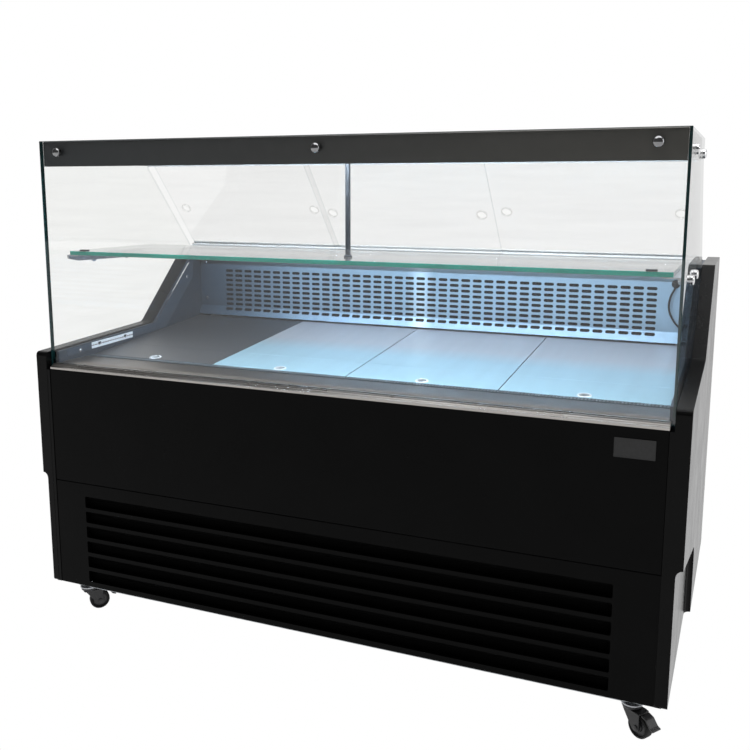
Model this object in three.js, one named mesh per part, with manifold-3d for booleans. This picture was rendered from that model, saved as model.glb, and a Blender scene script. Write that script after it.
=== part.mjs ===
// Refrigerated deli display case on castors, with a square glass superstructure.
// Millimetres, +Z up. The part is drawn with y = 0 at its front face and y = DEPTH at its back, and the
// exported group shifts it so that the origin is the bottom centre of its bounding box.
import * as THREE from 'three';
import { mergeVertices } from 'three/addons/utils/BufferGeometryUtils.js';
import Module from 'manifold-3d';

const wasm = await Module();
wasm.setup();

// ---------------------------------------------------------------- driving dimensions
const WIDTH = 1550;
const DEPTH = 936;
const HEIGHT = 1204;
const GAP = 0.3; // left between pieces that touch

const HALF = WIDTH / 2;
const SKIRT_Z = 90; // underside of the side panels and the kick panel
const SHOULDER_FRONT = [0, 691]; // outline of the side panels, as [y, z]
const SHOULDER_REAR = [422, 712];
const EAR_FRONT = [631, 912];
const PANEL_INNER_X = 744.6; // inner face of a side panel
const COLUMN_INNER_X = 736; // inner face of the front column of a side panel
const COLUMN_DEPTH = 28;
const RECESS_DEPTH = 14; // recess in the lower front of each side panel
const RECESS_TOP_Z = 364; // at the front edge; the top of the recess slopes down towards the rear
const RECESS_REAR_TOP_Z = 246;
const RECESS_REAR_Y = 440;
const RECESS_CORNER = 30;
const STEP_HEIGHT = 17;

const SEAM_Z = 364; // seam between the front panel and the kick panel
const FASCIA_TOP_Z = 649;
const FASCIA_HALF = COLUMN_INNER_X - GAP;
const FASCIA_FRONT_Y = 2; // the front and kick panels sit a little behind the side panels' faces
const FASCIA_BACK_Y = 22;
const SHEET = 1.5;
const MAT_THICK = 5;
const REAR_FACE_Y = 918; // outer face of the two rear panels
const REAR_THICK = 6;
const REAR_HALF = PANEL_INNER_X - GAP;
const LOUVRE_COUNT = 6;
const LOUVRE_PITCH = 39.4;
const LOUVRE_HEIGHT = 29.4;
const LOUVRE_TOP_Z = 330.4;
const LOUVRE_HALF = 647;

const WALL_X = 732; // inner face of the display's side walls
const LINER_REAR_Y = 911;
const DECK_FRONT = [160, 661.5]; // deck surface at its front edge, as [y, z]
const DECK_REAR_Y = 654.6;
const DECK_HALF = 730.4; // the four plates together
const DECK_SLOPE = 0.0868;
const DECK_LIP = 10;
const DECK_PLATES = 4;
const FINGER_HOLE_Y = 177;
const FINGER_HOLE_RADIUS = 12.5;
const SILL_REAR_Y = 143;
const SILL_TOP_Z = 662;

const DUCT_Y = 669; // front face of the air duct panel
const DUCT_TOP_Z = 884;
const DUCT_BEND_Z = 735;
const DUCT_ROWS = 9;
const DUCT_ROW_PITCH = 14.7;
const DUCT_FIRST_ROW_Z = 727;
const DUCT_SLOT_HALF = 628;
const DUCT_SLOTS_PER_ROW = 4;
const DUCT_SLOT_HEIGHT = 8;

const GLASS = 6;
const FRONT_GLASS_Y = 18;
const GLASS_HALF = 744;
const FRONT_GLASS_BOTTOM_Z = 656;
const GLASS_REAR_TOP = [434, 1204];
const GLASS_REAR_KNEE = [434, 1150];
const GLASS_REAR_LOW = [628, 926];
const GLASS_TUCK = 22; // depth of the side glass below the top of the side panel

const CANOPY_BOTTOM_Z = 1144; // underside of its front band
const CANOPY_SIDE_Z = 1156;
const CANOPY_REAR_Z = 1182;
const CANOPY_TOP_Z = HEIGHT - GAP;
const CANOPY_FRONT_Y = FRONT_GLASS_Y + GLASS + GAP;
const CANOPY_REAR_Y = 433;
const CANOPY_HALF = GLASS_HALF - GLASS - GAP;
const CANOPY_WALL = 3;
const KNOB_Z = 1177;
const KNOB_X = [-687, 0, 687];
const CANOPY_BOLTS = [[127, 1168], [363, 1168]]; // as [y, z] on each side glass
const SHELF_BOLTS = [[195, 914], [329, 914]];
const BOLT_RADIUS = 4.5;
const BOLT_HOLE_RADIUS = 5.2;
const BOLT_HEAD_RADIUS = 10;
const BOLT_HEAD = 9;

const SHELF_TOP_Z = 938;
const SHELF_THICK = 10;
const SHELF_HALF = 721;
const SHELF_FRONT_Y = 78;
const SHELF_REAR_Y = 408;
const POST = { y: 176, radius: 6 };

const WORKTOP_TOP_Z = 905;
const WORKTOP_FRONT_Y = 622;
const WORKTOP_REAR_Y = 934;
const WORKTOP_THICK = 18;
const DOOR_TILT = 0.6994; // lean of the sliding doors, radians about X
const DOOR_FOOT = [640, 919.2]; // origin of the tilted door frame, as [y, z]
const DOOR_LENGTH = 325; // up the slope
const DOOR_THICK = 5;
const DOOR_HALF = 245;
const DOOR_PITCH = 484;
const TRACK_OFFSET = 6.5; // each channel's distance from the middle of the track
const CHANNEL = 7;
const PULL_INSET = 34;
const PULL_HEIGHT = 148;
const PULL_RADIUS = 13;

const CASTOR = { x: 690, frontY: 50, rearY: 872, wheelRadius: 25, wheelWidth: 20, height: 70, trail: 24 };
const CASTOR_NAMES = ['front_left', 'front_right', 'rear_left', 'rear_right'];
const CASTOR_TURNS = [0.87, -0.6, 0.87, -0.6]; // direction of each trail at rest, radians from +X
const FRAME_BOTTOM_Z = CASTOR.height;
const FRAME_TOP_Z = 104;
const TUB_BOTTOM_Z = 490;
const TUB_FLOOR_Z = 540;

// ---------------------------------------------------------------- materials
const finish = (color, roughness, metalness, more = {}) =>
  new THREE.MeshStandardMaterial({ color, roughness, metalness, ...more });
const blackPanel = finish(0x101011, 0.38, 0.1);
const blackSheet = finish(0x0b0b0c, 0.32, 0.2);
const anthracite = finish(0x3b3a38, 0.4, 0.8);
const stainless = finish(0xb4bcc4, 0.3, 0.95);
const sillSteel = finish(0x80796f, 0.35, 0.9);
const aluminium = finish(0xa9a7a3, 0.35, 0.9);
const chrome = finish(0xd4d6d8, 0.12, 1);
const zinc = finish(0x8d9196, 0.45, 0.9);
const galvanised = finish(0x9ba1a6, 0.5, 0.85);
const foamShell = finish(0xaab4bd, 0.4, 0.8);
const clearGlass = finish(0xd9f0ec, 0.05, 0, { transparent: true, opacity: 0.25 });
const acrylic = finish(0xeef2f2, 0.1, 0, { transparent: true, opacity: 0.3 });
const darkPlastic = finish(0x17181a, 0.5, 0);
const rubber = finish(0x121212, 0.8, 0);
const whitePlastic = finish(0xf1f3f2, 0.4, 0);
const copper = finish(0xb0683f, 0.35, 0.9);

// ---------------------------------------------------------------- shape helpers
const model = new THREE.Group();
model.position.y = -DEPTH / 2;

function place(name, geometry, material, parent = model) {
  const mesh = new THREE.Mesh(geometry, material);
  mesh.name = name;
  parent.add(mesh);
  return mesh;
}

function box([x0, x1], [y0, y1], [z0, z1]) {
  const geometry = new THREE.BoxGeometry(x1 - x0, y1 - y0, z1 - z0);
  return geometry.translate((x0 + x1) / 2, (y0 + y1) / 2, (z0 + z1) / 2);
}

const toShape = (points) => new THREE.Shape(points.map(([u, v]) => new THREE.Vector2(u, v)));
const axes = {
  x: new THREE.Matrix4().makeBasis(
    new THREE.Vector3(0, 1, 0), new THREE.Vector3(0, 0, 1), new THREE.Vector3(1, 0, 0)),
  y: new THREE.Matrix4().makeBasis(
    new THREE.Vector3(0, 0, 1), new THREE.Vector3(1, 0, 0), new THREE.Vector3(0, 1, 0)),
  z: new THREE.Matrix4(),
};

// An outline drawn across an axis and extruded along it: [y, z] for x, [z, x] for y and [x, y] for z.
function prism(axis, points, [from, to]) {
  const geometry = new THREE.ExtrudeGeometry(toShape(points), { depth: to - from, bevelEnabled: false });
  return geometry.translate(0, 0, from).applyMatrix4(axes[axis]);
}

// A turned piece: profile points are [radius, distance along the axis], from the axis back to the axis.
function turned(axis, profile, [u, v], segments = 20) {
  const geometry = new THREE.LatheGeometry(profile.map(([r, h]) => new THREE.Vector2(r, h)), segments);
  geometry.rotateX(Math.PI / 2).translate(u, v, 0);
  return geometry.applyMatrix4(axes[axis]);
}

const rod = (axis, radius, centre, [from, to], segments = 16) =>
  turned(axis, [[0, from], [radius, from], [radius, to], [0, to]], centre, segments);

// Rounds the corners of an outline; radii is one number or one radius per corner.
function rounded(points, radii, steps = 4) {
  const out = [];
  points.forEach((point, i) => {
    const radius = Array.isArray(radii) ? radii[i] : radii;
    const corner = new THREE.Vector2(...point);
    const before = new THREE.Vector2(...points.at(i - 1)).sub(corner).normalize();
    const after = new THREE.Vector2(...points[(i + 1) % points.length]).sub(corner).normalize();
    const half = Math.acos(before.dot(after)) / 2;
    if (!radius || half > Math.PI / 2 - 0.02) {
      out.push(point);
      return;
    }
    const reach = radius / Math.tan(half);
    const start = corner.clone().addScaledVector(before, reach);
    const end = corner.clone().addScaledVector(after, reach);
    const middle = before.clone().add(after).normalize().multiplyScalar(radius / Math.sin(half)).add(corner);
    const first = start.clone().sub(middle).angle();
    let turn = end.clone().sub(middle).angle() - first;
    if (turn > Math.PI) turn -= 2 * Math.PI;
    if (turn < -Math.PI) turn += 2 * Math.PI;
    for (let k = 0; k <= steps; k += 1) {
      const angle = first + (turn * k) / steps;
      out.push([middle.x + radius * Math.cos(angle), middle.y + radius * Math.sin(angle)]);
    }
  });
  return out;
}

// A bent sheet: the centre line of its section, thickened by half of `thick` on each side.
function bentSheet(line, thick) {
  const side = (sign) => line.map((point, i) => {
    const before = line[Math.max(i - 1, 0)];
    const after = line[Math.min(i + 1, line.length - 1)];
    const here = new THREE.Vector2(...point);
    const incoming = i ? here.clone().sub(new THREE.Vector2(...before)).normalize() : null;
    const outgoing = i < line.length - 1 ? new THREE.Vector2(...after).sub(here).normalize() : null;
    const along = (incoming ?? outgoing).clone().add(outgoing ?? incoming).normalize();
    const stretch = 1 / Math.max(0.3, along.dot(outgoing ?? incoming));
    const offset = (sign * thick * stretch) / 2;
    return [point[0] - along.y * offset, point[1] + along.x * offset];
  });
  return [...side(-1), ...side(1).reverse()];
}

function toManifold(source) {
  const geometry = source.clone();
  geometry.deleteAttribute('normal');
  geometry.deleteAttribute('uv');
  const merged = mergeVertices(geometry, 1e-4);
  return new wasm.Manifold(new wasm.Mesh({
    numProp: 3,
    vertProperties: merged.attributes.position.array,
    triVerts: Uint32Array.from(merged.index.array),
  }));
}

function fromManifold(manifold) {
  const { vertProperties, triVerts } = manifold.getMesh();
  const geometry = new THREE.BufferGeometry();
  geometry.setAttribute('position', new THREE.BufferAttribute(new Float32Array(vertProperties), 3));
  geometry.setIndex(new THREE.BufferAttribute(new Uint32Array(triVerts), 1));
  return geometry;
}

const joined = (...pieces) =>
  fromManifold(pieces.map(toManifold).reduce((whole, piece) => whole.add(piece)));
const cut = (piece, ...tools) =>
  fromManifold(tools.map(toManifold).reduce((whole, tool) => whole.subtract(tool), toManifold(piece)));

// The same piece on the other side of the case.
function mirrored(geometry) {
  const flipped = geometry.clone().toNonIndexed().scale(-1, 1, 1);
  const corners = flipped.attributes.position;
  for (let i = 0; i < corners.count; i += 3) {
    const a = new THREE.Vector3().fromBufferAttribute(corners, i);
    const b = new THREE.Vector3().fromBufferAttribute(corners, i + 1);
    corners.setXYZ(i, b.x, b.y, b.z);
    corners.setXYZ(i + 1, a.x, a.y, a.z);
  }
  return flipped;
}

function placePair(name, rightGeometry, material) {
  place(`${name}_right`, rightGeometry, material);
  place(`${name}_left`, mirrored(rightGeometry), material);
}

const deckZ = (y) => DECK_FRONT[1] + (y - DECK_FRONT[0]) * DECK_SLOPE;
const spread = (count, pitch) => Array.from({ length: count }, (_, i) => (i - (count - 1) / 2) * pitch);

// ---------------------------------------------------------------- body shell
function sidePanel() {
  const outline = [[0, SKIRT_Z], [DEPTH, SKIRT_Z], [DEPTH, EAR_FRONT[1]],
    EAR_FRONT, SHOULDER_REAR, SHOULDER_FRONT];
  const plate = prism('x', rounded(outline, [6, 10, 12, 14, 20, 10]), [PANEL_INNER_X, HALF]);
  const column = box(
    [COLUMN_INNER_X, PANEL_INNER_X + 5], [0.5, COLUMN_DEPTH], [SKIRT_Z + 1, FASCIA_TOP_Z - 1]);
  const slope = (RECESS_TOP_Z - RECESS_REAR_TOP_Z) / RECESS_REAR_Y;
  const recessOutline = [[-60, 30], [RECESS_REAR_Y, 30], [RECESS_REAR_Y, RECESS_REAR_TOP_Z],
    [-60, RECESS_TOP_Z + 60 * slope]];
  const recess = new THREE.ExtrudeGeometry(toShape(rounded(recessOutline, [0, 0, RECESS_CORNER, 0], 8)), {
    depth: 5,
    bevelThickness: RECESS_DEPTH,
    bevelSize: STEP_HEIGHT,
    bevelSegments: 4,
  });
  recess.applyMatrix4(axes.x).translate(HALF, 0, 0);
  return cut(joined(plate, column), recess);
}

// The louvres are blind: a filter mat closes the back of the kick panel.
function kickPanel() {
  const slab = box([-FASCIA_HALF, FASCIA_HALF], [FASCIA_FRONT_Y, FASCIA_BACK_Y], [SKIRT_Z, SEAM_Z - 0.6]);
  const slotBack = FASCIA_BACK_Y - MAT_THICK;
  const tops = Array.from({ length: LOUVRE_COUNT }, (_, i) => LOUVRE_TOP_Z - i * LOUVRE_PITCH);
  const slots = tops.map((top) =>
    box([-LOUVRE_HALF, LOUVRE_HALF], [FASCIA_FRONT_Y - 1, slotBack], [top - LOUVRE_HEIGHT, top]));
  const blades = tops.map((top) => {
    const [front, back] = [FASCIA_FRONT_Y + 0.4, slotBack + 1];
    const section = [[front, top - 1], [front, top + 1], [back, top + 1], [back, top - 14]];
    return prism('x', section, [-LOUVRE_HALF - 1, LOUVRE_HALF + 1]);
  });
  return joined(cut(slab, ...slots), ...blades);
}

const rearSheet = (z0, z1, ...openings) =>
  cut(box([-REAR_HALF, REAR_HALF], [REAR_FACE_Y - REAR_THICK, REAR_FACE_Y], [z0, z1]), ...openings);

function rearServicePanel() {
  const [z0, z1] = [SKIRT_Z, TUB_BOTTOM_Z - 4];
  const slots = spread(9, 26).map((offset) => {
    const z = (z0 + z1) / 2 + offset;
    return box([-380, 380], [REAR_FACE_Y - 10, REAR_FACE_Y + 2], [z - 6, z + 6]);
  });
  return rearSheet(z0, z1, ...slots);
}

placePair('side_panel', sidePanel(), blackPanel);
const fasciaY = [FASCIA_FRONT_Y, FASCIA_BACK_Y];
place('front_panel', box([-FASCIA_HALF, FASCIA_HALF], fasciaY, [SEAM_Z + 0.6, FASCIA_TOP_Z]), blackSheet);
place('kick_panel', kickPanel(), blackSheet);
place('badge_plate', box([636, 713], [0.2, FASCIA_FRONT_Y - GAP], [589, 627.5]), darkPlastic);

const CONTROL = { x: 520, z: 700, width: 90, height: 46 };
const SWITCH = { x: 400, z: 700 };
const rearUpper = rearSheet(
  TUB_BOTTOM_Z + GAP, WORKTOP_TOP_Z - WORKTOP_THICK - 1,
  box([CONTROL.x - 42, CONTROL.x + 42], [900, 925], [CONTROL.z - 16, CONTROL.z + 16]),
  box([SWITCH.x - 14, SWITCH.x + 14], [900, 925], [SWITCH.z - 13, SWITCH.z + 13]));
place('rear_upper_panel', rearUpper, galvanised);
place('rear_service_panel', rearServicePanel(), galvanised);

// ---------------------------------------------------------------- frame and insulated tub
function baseFrame() {
  const [x, y0, y1] = [710, 34, 892];
  const bar = 40;
  const level = [FRAME_BOTTOM_Z, FRAME_TOP_Z];
  const rails = [
    box([-x, x], [y0, y0 + bar], level),
    box([-x, x], [y1 - bar, y1], level),
    ...[-x, -250, 210, x - bar].map((left) => box([left, left + bar], [y0, y1], level)),
  ];
  const posts = [-x, x - bar].flatMap((left) => [y0, y1 - bar].map((front) =>
    box([left, left + bar], [front, front + 30], [FRAME_BOTTOM_Z, TUB_BOTTOM_Z - GAP])));
  const ties = [-x, x - bar].map((left) =>
    box([left, left + bar], [y0, y1], [TUB_BOTTOM_Z - 30, TUB_BOTTOM_Z - GAP]));
  return joined(...rails, ...posts, ...ties);
}

function insulatedTub() {
  const ledge = (y) => deckZ(y) - 16;
  const outline = [[34, TUB_BOTTOM_Z], [800, TUB_BOTTOM_Z], [800, 886], [745, 886], [745, ledge(745)],
    [SILL_REAR_Y, ledge(SILL_REAR_Y)], [90, 640], [34, 640]];
  const well = box([-686, 686], [84, 745], [TUB_FLOOR_Z, 1000]);
  const drain = rod('z', 12, [-430, 420], [TUB_BOTTOM_Z - 1, TUB_FLOOR_Z + 1]);
  return cut(prism('x', outline, [-WALL_X + GAP, WALL_X - GAP]), well, drain);
}

place('base_frame', baseFrame(), galvanised);
place('insulated_tub', insulatedTub(), foamShell);

// ---------------------------------------------------------------- display well
function frontSill() {
  const line = [[31.5, 651], [32, 655]];
  for (let i = 1; i <= 6; i += 1) {
    const angle = Math.PI - (i * Math.PI) / 12;
    line.push([58 + 26 * Math.cos(angle), 655 + (SILL_TOP_Z - 656) * Math.sin(angle)]);
  }
  line.push([SILL_REAR_Y - 4, SILL_TOP_Z - 1], [SILL_REAR_Y - 1, SILL_TOP_Z - 4], [SILL_REAR_Y - 1, 648]);
  return prism('x', bentSheet(line, SHEET), [-WALL_X + GAP, WALL_X - GAP]);
}

function glassChannel() {
  const section = [[3, FASCIA_TOP_Z + GAP], [30, FASCIA_TOP_Z + GAP], [30, 662], [25, 662], [25, 655],
    [17, 655], [17, 662], [14, 662], [12, 658.5], [9, 658.5], [7, 655.5], [3, 654.5]];
  return prism('x', section, [-FASCIA_HALF, FASCIA_HALF]);
}

function airReturnGrille() {
  const line = [[144.2, 646], [144.2, 660], [DECK_FRONT[0] - 1, deckZ(159)], [DECK_FRONT[0] - 1, 647],
    [DECK_FRONT[0] + 14, 648]];
  const strip = prism('x', bentSheet(line, 1.2), [-WALL_X + 1, WALL_X - 1]);
  return cut(strip, ...spread(8, 180).map((x) => box([x - 84, x + 84], [148, 155], [650, 670])));
}

function deckPlate(centre) {
  const half = DECK_HALF / DECK_PLATES - 0.6;
  const thick = 1.2;
  const [y0, y1] = [DECK_FRONT[0] + 0.8, DECK_REAR_Y - 1];
  const line = [[y0 + thick, deckZ(y0) - DECK_LIP], [y0 + thick, deckZ(y0) - thick],
    [y1 - thick, deckZ(y1) - thick], [y1 - thick, deckZ(y1) - DECK_LIP]];
  const plate = prism('x', bentSheet(line, thick), [centre - half, centre + half]);
  return cut(plate, rod('z', FINGER_HOLE_RADIUS, [centre, FINGER_HOLE_Y], [650, 680], 20));
}

function airDuctPanel() {
  const foot = deckZ(DUCT_Y) + 3;
  const line = [[DUCT_Y + 60, DUCT_TOP_Z], [DUCT_Y, DUCT_TOP_Z], [DUCT_Y, DUCT_BEND_Z],
    [DUCT_Y - 14, foot + 2], [DUCT_Y - 14, foot]];
  const panel = prism('x', bentSheet(line, SHEET), [-WALL_X + 1, WALL_X - 1]);
  const pitch = (2 * DUCT_SLOT_HALF) / DUCT_SLOTS_PER_ROW;
  const slots = Array.from({ length: DUCT_ROWS - 1 }, (_, row) => {
    const z = DUCT_FIRST_ROW_Z + (row + 1) * DUCT_ROW_PITCH;
    return spread(DUCT_SLOTS_PER_ROW, pitch).map((x) => box(
      [x - pitch / 2 + 8, x + pitch / 2 - 8], [DUCT_Y - 5, DUCT_Y + 5],
      [z - DUCT_SLOT_HEIGHT / 2, z + DUCT_SLOT_HEIGHT / 2]));
  }).flat();
  return cut(panel, ...slots);
}

const sideGlassOutline = [
  [FRONT_GLASS_Y + GLASS + GAP, SHOULDER_FRONT[1] - GLASS_TUCK],
  [SHOULDER_REAR[0] + 8, SHOULDER_REAR[1] - GLASS_TUCK],
  [EAR_FRONT[0] + 8, EAR_FRONT[1] - GLASS_TUCK], GLASS_REAR_LOW, GLASS_REAR_KNEE, GLASS_REAR_TOP,
  [FRONT_GLASS_Y + GLASS + GAP, HEIGHT]];

function sideLiner(withStrip) {
  const outline = [[31, 645], [LINER_REAR_Y, 645], [LINER_REAR_Y, EAR_FRONT[1] - 8],
    [EAR_FRONT[0] + 4, EAR_FRONT[1] - 8],
    [SHOULDER_REAR[0] + 3, SHOULDER_REAR[1] - 3], [31, SHOULDER_FRONT[1] - 2]];
  const wall = prism('x', outline, [WALL_X, PANEL_INNER_X - GAP]);
  const clearance = ([y, z]) => [y > EAR_FRONT[0] - 10 ? y + 1 : y, z - 0.6];
  const pocket = prism('x', sideGlassOutline.map(clearance), [GLASS_HALF - GLASS - GAP, HALF]);
  const lined = cut(wall, pocket);
  if (!withStrip) return lined;
  const strip = prism('x', [[152, 676.3], [322, 681.6], [322, 699], [152, 693.7]], [WALL_X - 1, WALL_X + 1]);
  return joined(lined, strip);
}

place('side_liner_right', sideLiner(false), stainless);
place('side_liner_left', mirrored(sideLiner(true)), stainless);
place('front_sill', frontSill(), sillSteel);
place('glass_channel', glassChannel(), aluminium);
place('air_return_grille', airReturnGrille(), stainless);
spread(DECK_PLATES, (2 * DECK_HALF) / DECK_PLATES).forEach((centre, i) => {
  place(`deck_plate_${i + 1}`, deckPlate(centre), stainless);
});
place('air_duct_panel', airDuctPanel(), stainless);

// ---------------------------------------------------------------- glass superstructure
const boltHoles = [...CANOPY_BOLTS, ...SHELF_BOLTS].map((centre) =>
  rod('x', BOLT_HOLE_RADIUS, centre, [700, 760]));
const sideGlassRadii = [0, 0, 0, 0, 12, 22, 0];
const sideGlass = cut(
  prism('x', rounded(sideGlassOutline, sideGlassRadii), [GLASS_HALF - GLASS, GLASS_HALF]), ...boltHoles);
placePair('side_glass', sideGlass, clearGlass);

const knobHoles = KNOB_X.map((x) => rod('y', BOLT_HOLE_RADIUS, [KNOB_Z, x], [0, 60]));
const frontGlass = box(
  [-GLASS_HALF, GLASS_HALF], [FRONT_GLASS_Y, FRONT_GLASS_Y + GLASS], [FRONT_GLASS_BOTTOM_Z, HEIGHT]);
place('front_glass', cut(frontGlass, ...knobHoles), clearGlass);

function sideBolt([y, z], inner) {
  const face = GLASS_HALF + GAP;
  const profile = [[0, inner], [BOLT_RADIUS, inner], [BOLT_RADIUS, face], [BOLT_HEAD_RADIUS, face],
    [BOLT_HEAD_RADIUS, face + BOLT_HEAD - 3], [BOLT_HEAD_RADIUS - 3, face + BOLT_HEAD],
    [0, face + BOLT_HEAD]];
  return turned('x', profile, [y, z], 16);
}

function canopy() {
  const [y0, y1] = [CANOPY_FRONT_Y, CANOPY_REAR_Y];
  const w = CANOPY_WALL;
  const shell = cut(
    box([-CANOPY_HALF, CANOPY_HALF], [y0, y1], [CANOPY_BOTTOM_Z, CANOPY_TOP_Z]),
    box([-CANOPY_HALF + w, CANOPY_HALF - w], [y0 + w, y1 - w], [CANOPY_BOTTOM_Z - 1, CANOPY_TOP_Z - w]),
    ...knobHoles,
    box([-800, 800], [y0 + w, y1 + 1], [CANOPY_BOTTOM_Z - 1, CANOPY_SIDE_Z]),
    box([-800, 800], [y1 - w, y1 + 1], [CANOPY_BOTTOM_Z - 1, CANOPY_REAR_Z]));
  const bolts = CANOPY_BOLTS.map((centre) => sideBolt(centre, CANOPY_HALF - 1));
  const track = doorTrack([DOOR_LENGTH - 7, DOOR_LENGTH + 13], -1);
  track.rotateX(DOOR_TILT).translate(0, ...DOOR_FOOT);
  return joined(shell, ...bolts, ...bolts.map(mirrored), track);
}

// A double channel across the case, in the tilted door frame; open = 1 is open upwards and -1 downwards.
function doorTrack([z0, z1], open) {
  const wall = 3.5;
  const half = TRACK_OFFSET + CHANNEL / 2 + wall;
  const bar = box([-CANOPY_HALF + 3, CANOPY_HALF - 3], [-half, half], [z0, z1]);
  const groove = open > 0 ? [z0 + 4, z1 + 1] : [z0 - 1, z1 - 4];
  const grooves = [-1, 1].map((side) =>
    box([-800, 800], [side * TRACK_OFFSET - CHANNEL / 2, side * TRACK_OFFSET + CHANNEL / 2], groove));
  return cut(bar, ...grooves);
}

function doorPanel(centre, side) {
  const y = side * TRACK_OFFSET;
  const pane = box([centre - DOOR_HALF, centre + DOOR_HALF], [y - DOOR_THICK / 2, y + DOOR_THICK / 2],
    [0, DOOR_LENGTH]);
  const pulls = [-1, 1].map((end) =>
    rod('y', PULL_RADIUS, [PULL_HEIGHT, centre + end * (DOOR_HALF - PULL_INSET)], [y - 10, y + 10], 20));
  return cut(pane, ...pulls);
}

const doorFrame = new THREE.Group();
doorFrame.position.set(0, ...DOOR_FOOT);
doorFrame.rotation.x = DOOR_TILT;
model.add(doorFrame);
place('door_left', doorPanel(-DOOR_PITCH, 1), acrylic, doorFrame);
place('door_middle', doorPanel(0, -1), acrylic, doorFrame);
place('door_right', doorPanel(DOOR_PITCH, 1), acrylic, doorFrame);
place('door_track_lower', doorTrack([-5, 10], 1), aluminium, doorFrame);
place('canopy', canopy(), anthracite);

const knobProfile = [[0, -5], [7, -5], [10, -8], [10.5, -12], [10, -14], [6.5, -16.5], [0, -17]];
KNOB_X.forEach((x, i) => {
  const face = FRONT_GLASS_Y - GAP;
  const stud = [[0, face + 20], [BOLT_RADIUS, face + 20], [BOLT_RADIUS, face], [9, face]];
  const head = knobProfile.slice(1).map(([r, h]) => [r, face + h + 4]);
  place(`glass_knob_${i + 1}`, turned('y', [...stud, ...head].reverse(), [KNOB_Z, x], 16), chrome);
});

const shelf = box(
  [-SHELF_HALF, SHELF_HALF], [SHELF_FRONT_Y, SHELF_REAR_Y], [SHELF_TOP_Z - SHELF_THICK, SHELF_TOP_Z]);
place('shelf_glass', shelf, clearGlass);
const shelfUnder = SHELF_TOP_Z - SHELF_THICK - GAP;
const bracketWeb = [[SHELF_FRONT_Y + 4, shelfUnder], [SHELF_FRONT_Y + 8, shelfUnder - 12],
  [SHELF_REAR_Y - 20, shelfUnder - 24], [SHELF_REAR_Y - 20, shelfUnder]];
const shelfBracket = joined(
  prism('x', bracketWeb, [728, GLASS_HALF - GLASS - GAP]),
  prism('x', [[SHELF_FRONT_Y + 4, shelfUnder - 3], [SHELF_REAR_Y - 20, shelfUnder - 3],
    [SHELF_REAR_Y - 20, shelfUnder], [SHELF_FRONT_Y + 4, shelfUnder]], [700, 730]),
  ...SHELF_BOLTS.map((centre) => sideBolt(centre, 730)));
placePair('shelf_bracket', shelfBracket, zinc);
const roofUnder = CANOPY_TOP_Z - CANOPY_WALL - GAP;
place('shelf_post', rod('z', POST.radius, [0, POST.y], [SHELF_TOP_Z + GAP, roofUnder]), darkPlastic);
const lightBar = rounded([[48, 1178], [78, 1178], [78, roofUnder], [48, roofUnder]], [8, 8, 0, 0], 3);
place('led_light_bar', prism('x', lightBar, [-700, 700]), whitePlastic);

// ---------------------------------------------------------------- worktop
const worktopEdge = WORKTOP_TOP_Z - WORKTOP_THICK;
const worktopLine = [[WORKTOP_FRONT_Y + 12, worktopEdge + 1], [WORKTOP_FRONT_Y + 1, worktopEdge + 1],
  [WORKTOP_FRONT_Y + 1, WORKTOP_TOP_Z - 1], [WORKTOP_REAR_Y - 1, WORKTOP_TOP_Z - 1],
  [WORKTOP_REAR_Y - 1, worktopEdge + 1], [WORKTOP_REAR_Y - 12, worktopEdge + 1]];
place('worktop', prism('x', bentSheet(worktopLine, 2), [-WALL_X + 1, WALL_X - 1]), stainless);

// ---------------------------------------------------------------- machine compartment
const compressorShell = [[0, 0], [66, 0], [78, 14], [80, 70], [80, 120], [70, 160], [44, 182], [0, 188]];
const compressorFoot = rounded([[-95, -75], [95, -75], [95, 75], [-95, 75]], 18);
const compressor = joined(
  turned('z', compressorShell, [0, 0], 24).translate(0, 0, 14),
  prism('z', compressorFoot, [0, 4]),
  rod('z', 60, [0, 0], [2, 20]),
  rod('y', 7, [70, 0], [-110, -60], 10),
  box([60, 100], [-30, 30], [60, 120])).translate(440, 560, FRAME_TOP_Z + GAP);
place('compressor', compressor, blackSheet);

const condenserZ = [FRAME_TOP_Z + GAP, 394];
const condenserFins = spread(9, 35).map((x) =>
  box([x - 1, x + 1], [72, 124], [condenserZ[0] + 8, condenserZ[1] - 8]));
const condenserTubes = [160, 250, 340].map((z) => rod('x', 5, [98, z], [-158, 158], 6));
const condenserCheeks = [-160, 152].map((x) => box([x, x + 8], [70, 126], condenserZ));
place('condenser_coil', joined(...condenserFins, ...condenserTubes, ...condenserCheeks), copper);

const FAN = { y: 168, z: 254, radius: 112 };
function fanMount() {
  const plate = cut(
    box([-160, 160], [127, 130], condenserZ),
    rod('y', FAN.radius + 8, [FAN.z, 0], [100, 140], 32));
  const ring = cut(
    rod('y', FAN.radius + 11, [FAN.z, 0], [127, 186], 32),
    rod('y', FAN.radius + 8, [FAN.z, 0], [120, 190], 32));
  const spokes = joined(
    box([-FAN.radius - 10, FAN.radius + 10], [182, 186], [FAN.z - 8, FAN.z + 8]),
    box([-8, 8], [182, 186], [FAN.z - FAN.radius - 10, FAN.z + FAN.radius + 10]));
  return joined(plate, ring, spokes, rod('y', 34, [FAN.z, 0], [184, 240], 20));
}

// A fan turning about Y: hub and tilted blades, with its shaft hidden in the motor's face.
function fan([x, y, z], radius, blades, width) {
  const hub = rod('y', radius * 0.24, [0, 0], [-width / 2, width / 2], 16);
  const blade = box([radius * 0.18, radius], [-1, 1], [-width * 0.75, width * 0.75]).rotateX(0.5);
  const ring = Array.from({ length: blades }, (_, i) => blade.clone().rotateY((i * 2 * Math.PI) / blades));
  return joined(hub, ...ring).translate(x, y, z);
}

place('condenser_fan_motor', fanMount(), galvanised);
place('condenser_fan', fan([0, FAN.y - 9, FAN.z], FAN.radius, 5, 22), aluminium);

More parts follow.
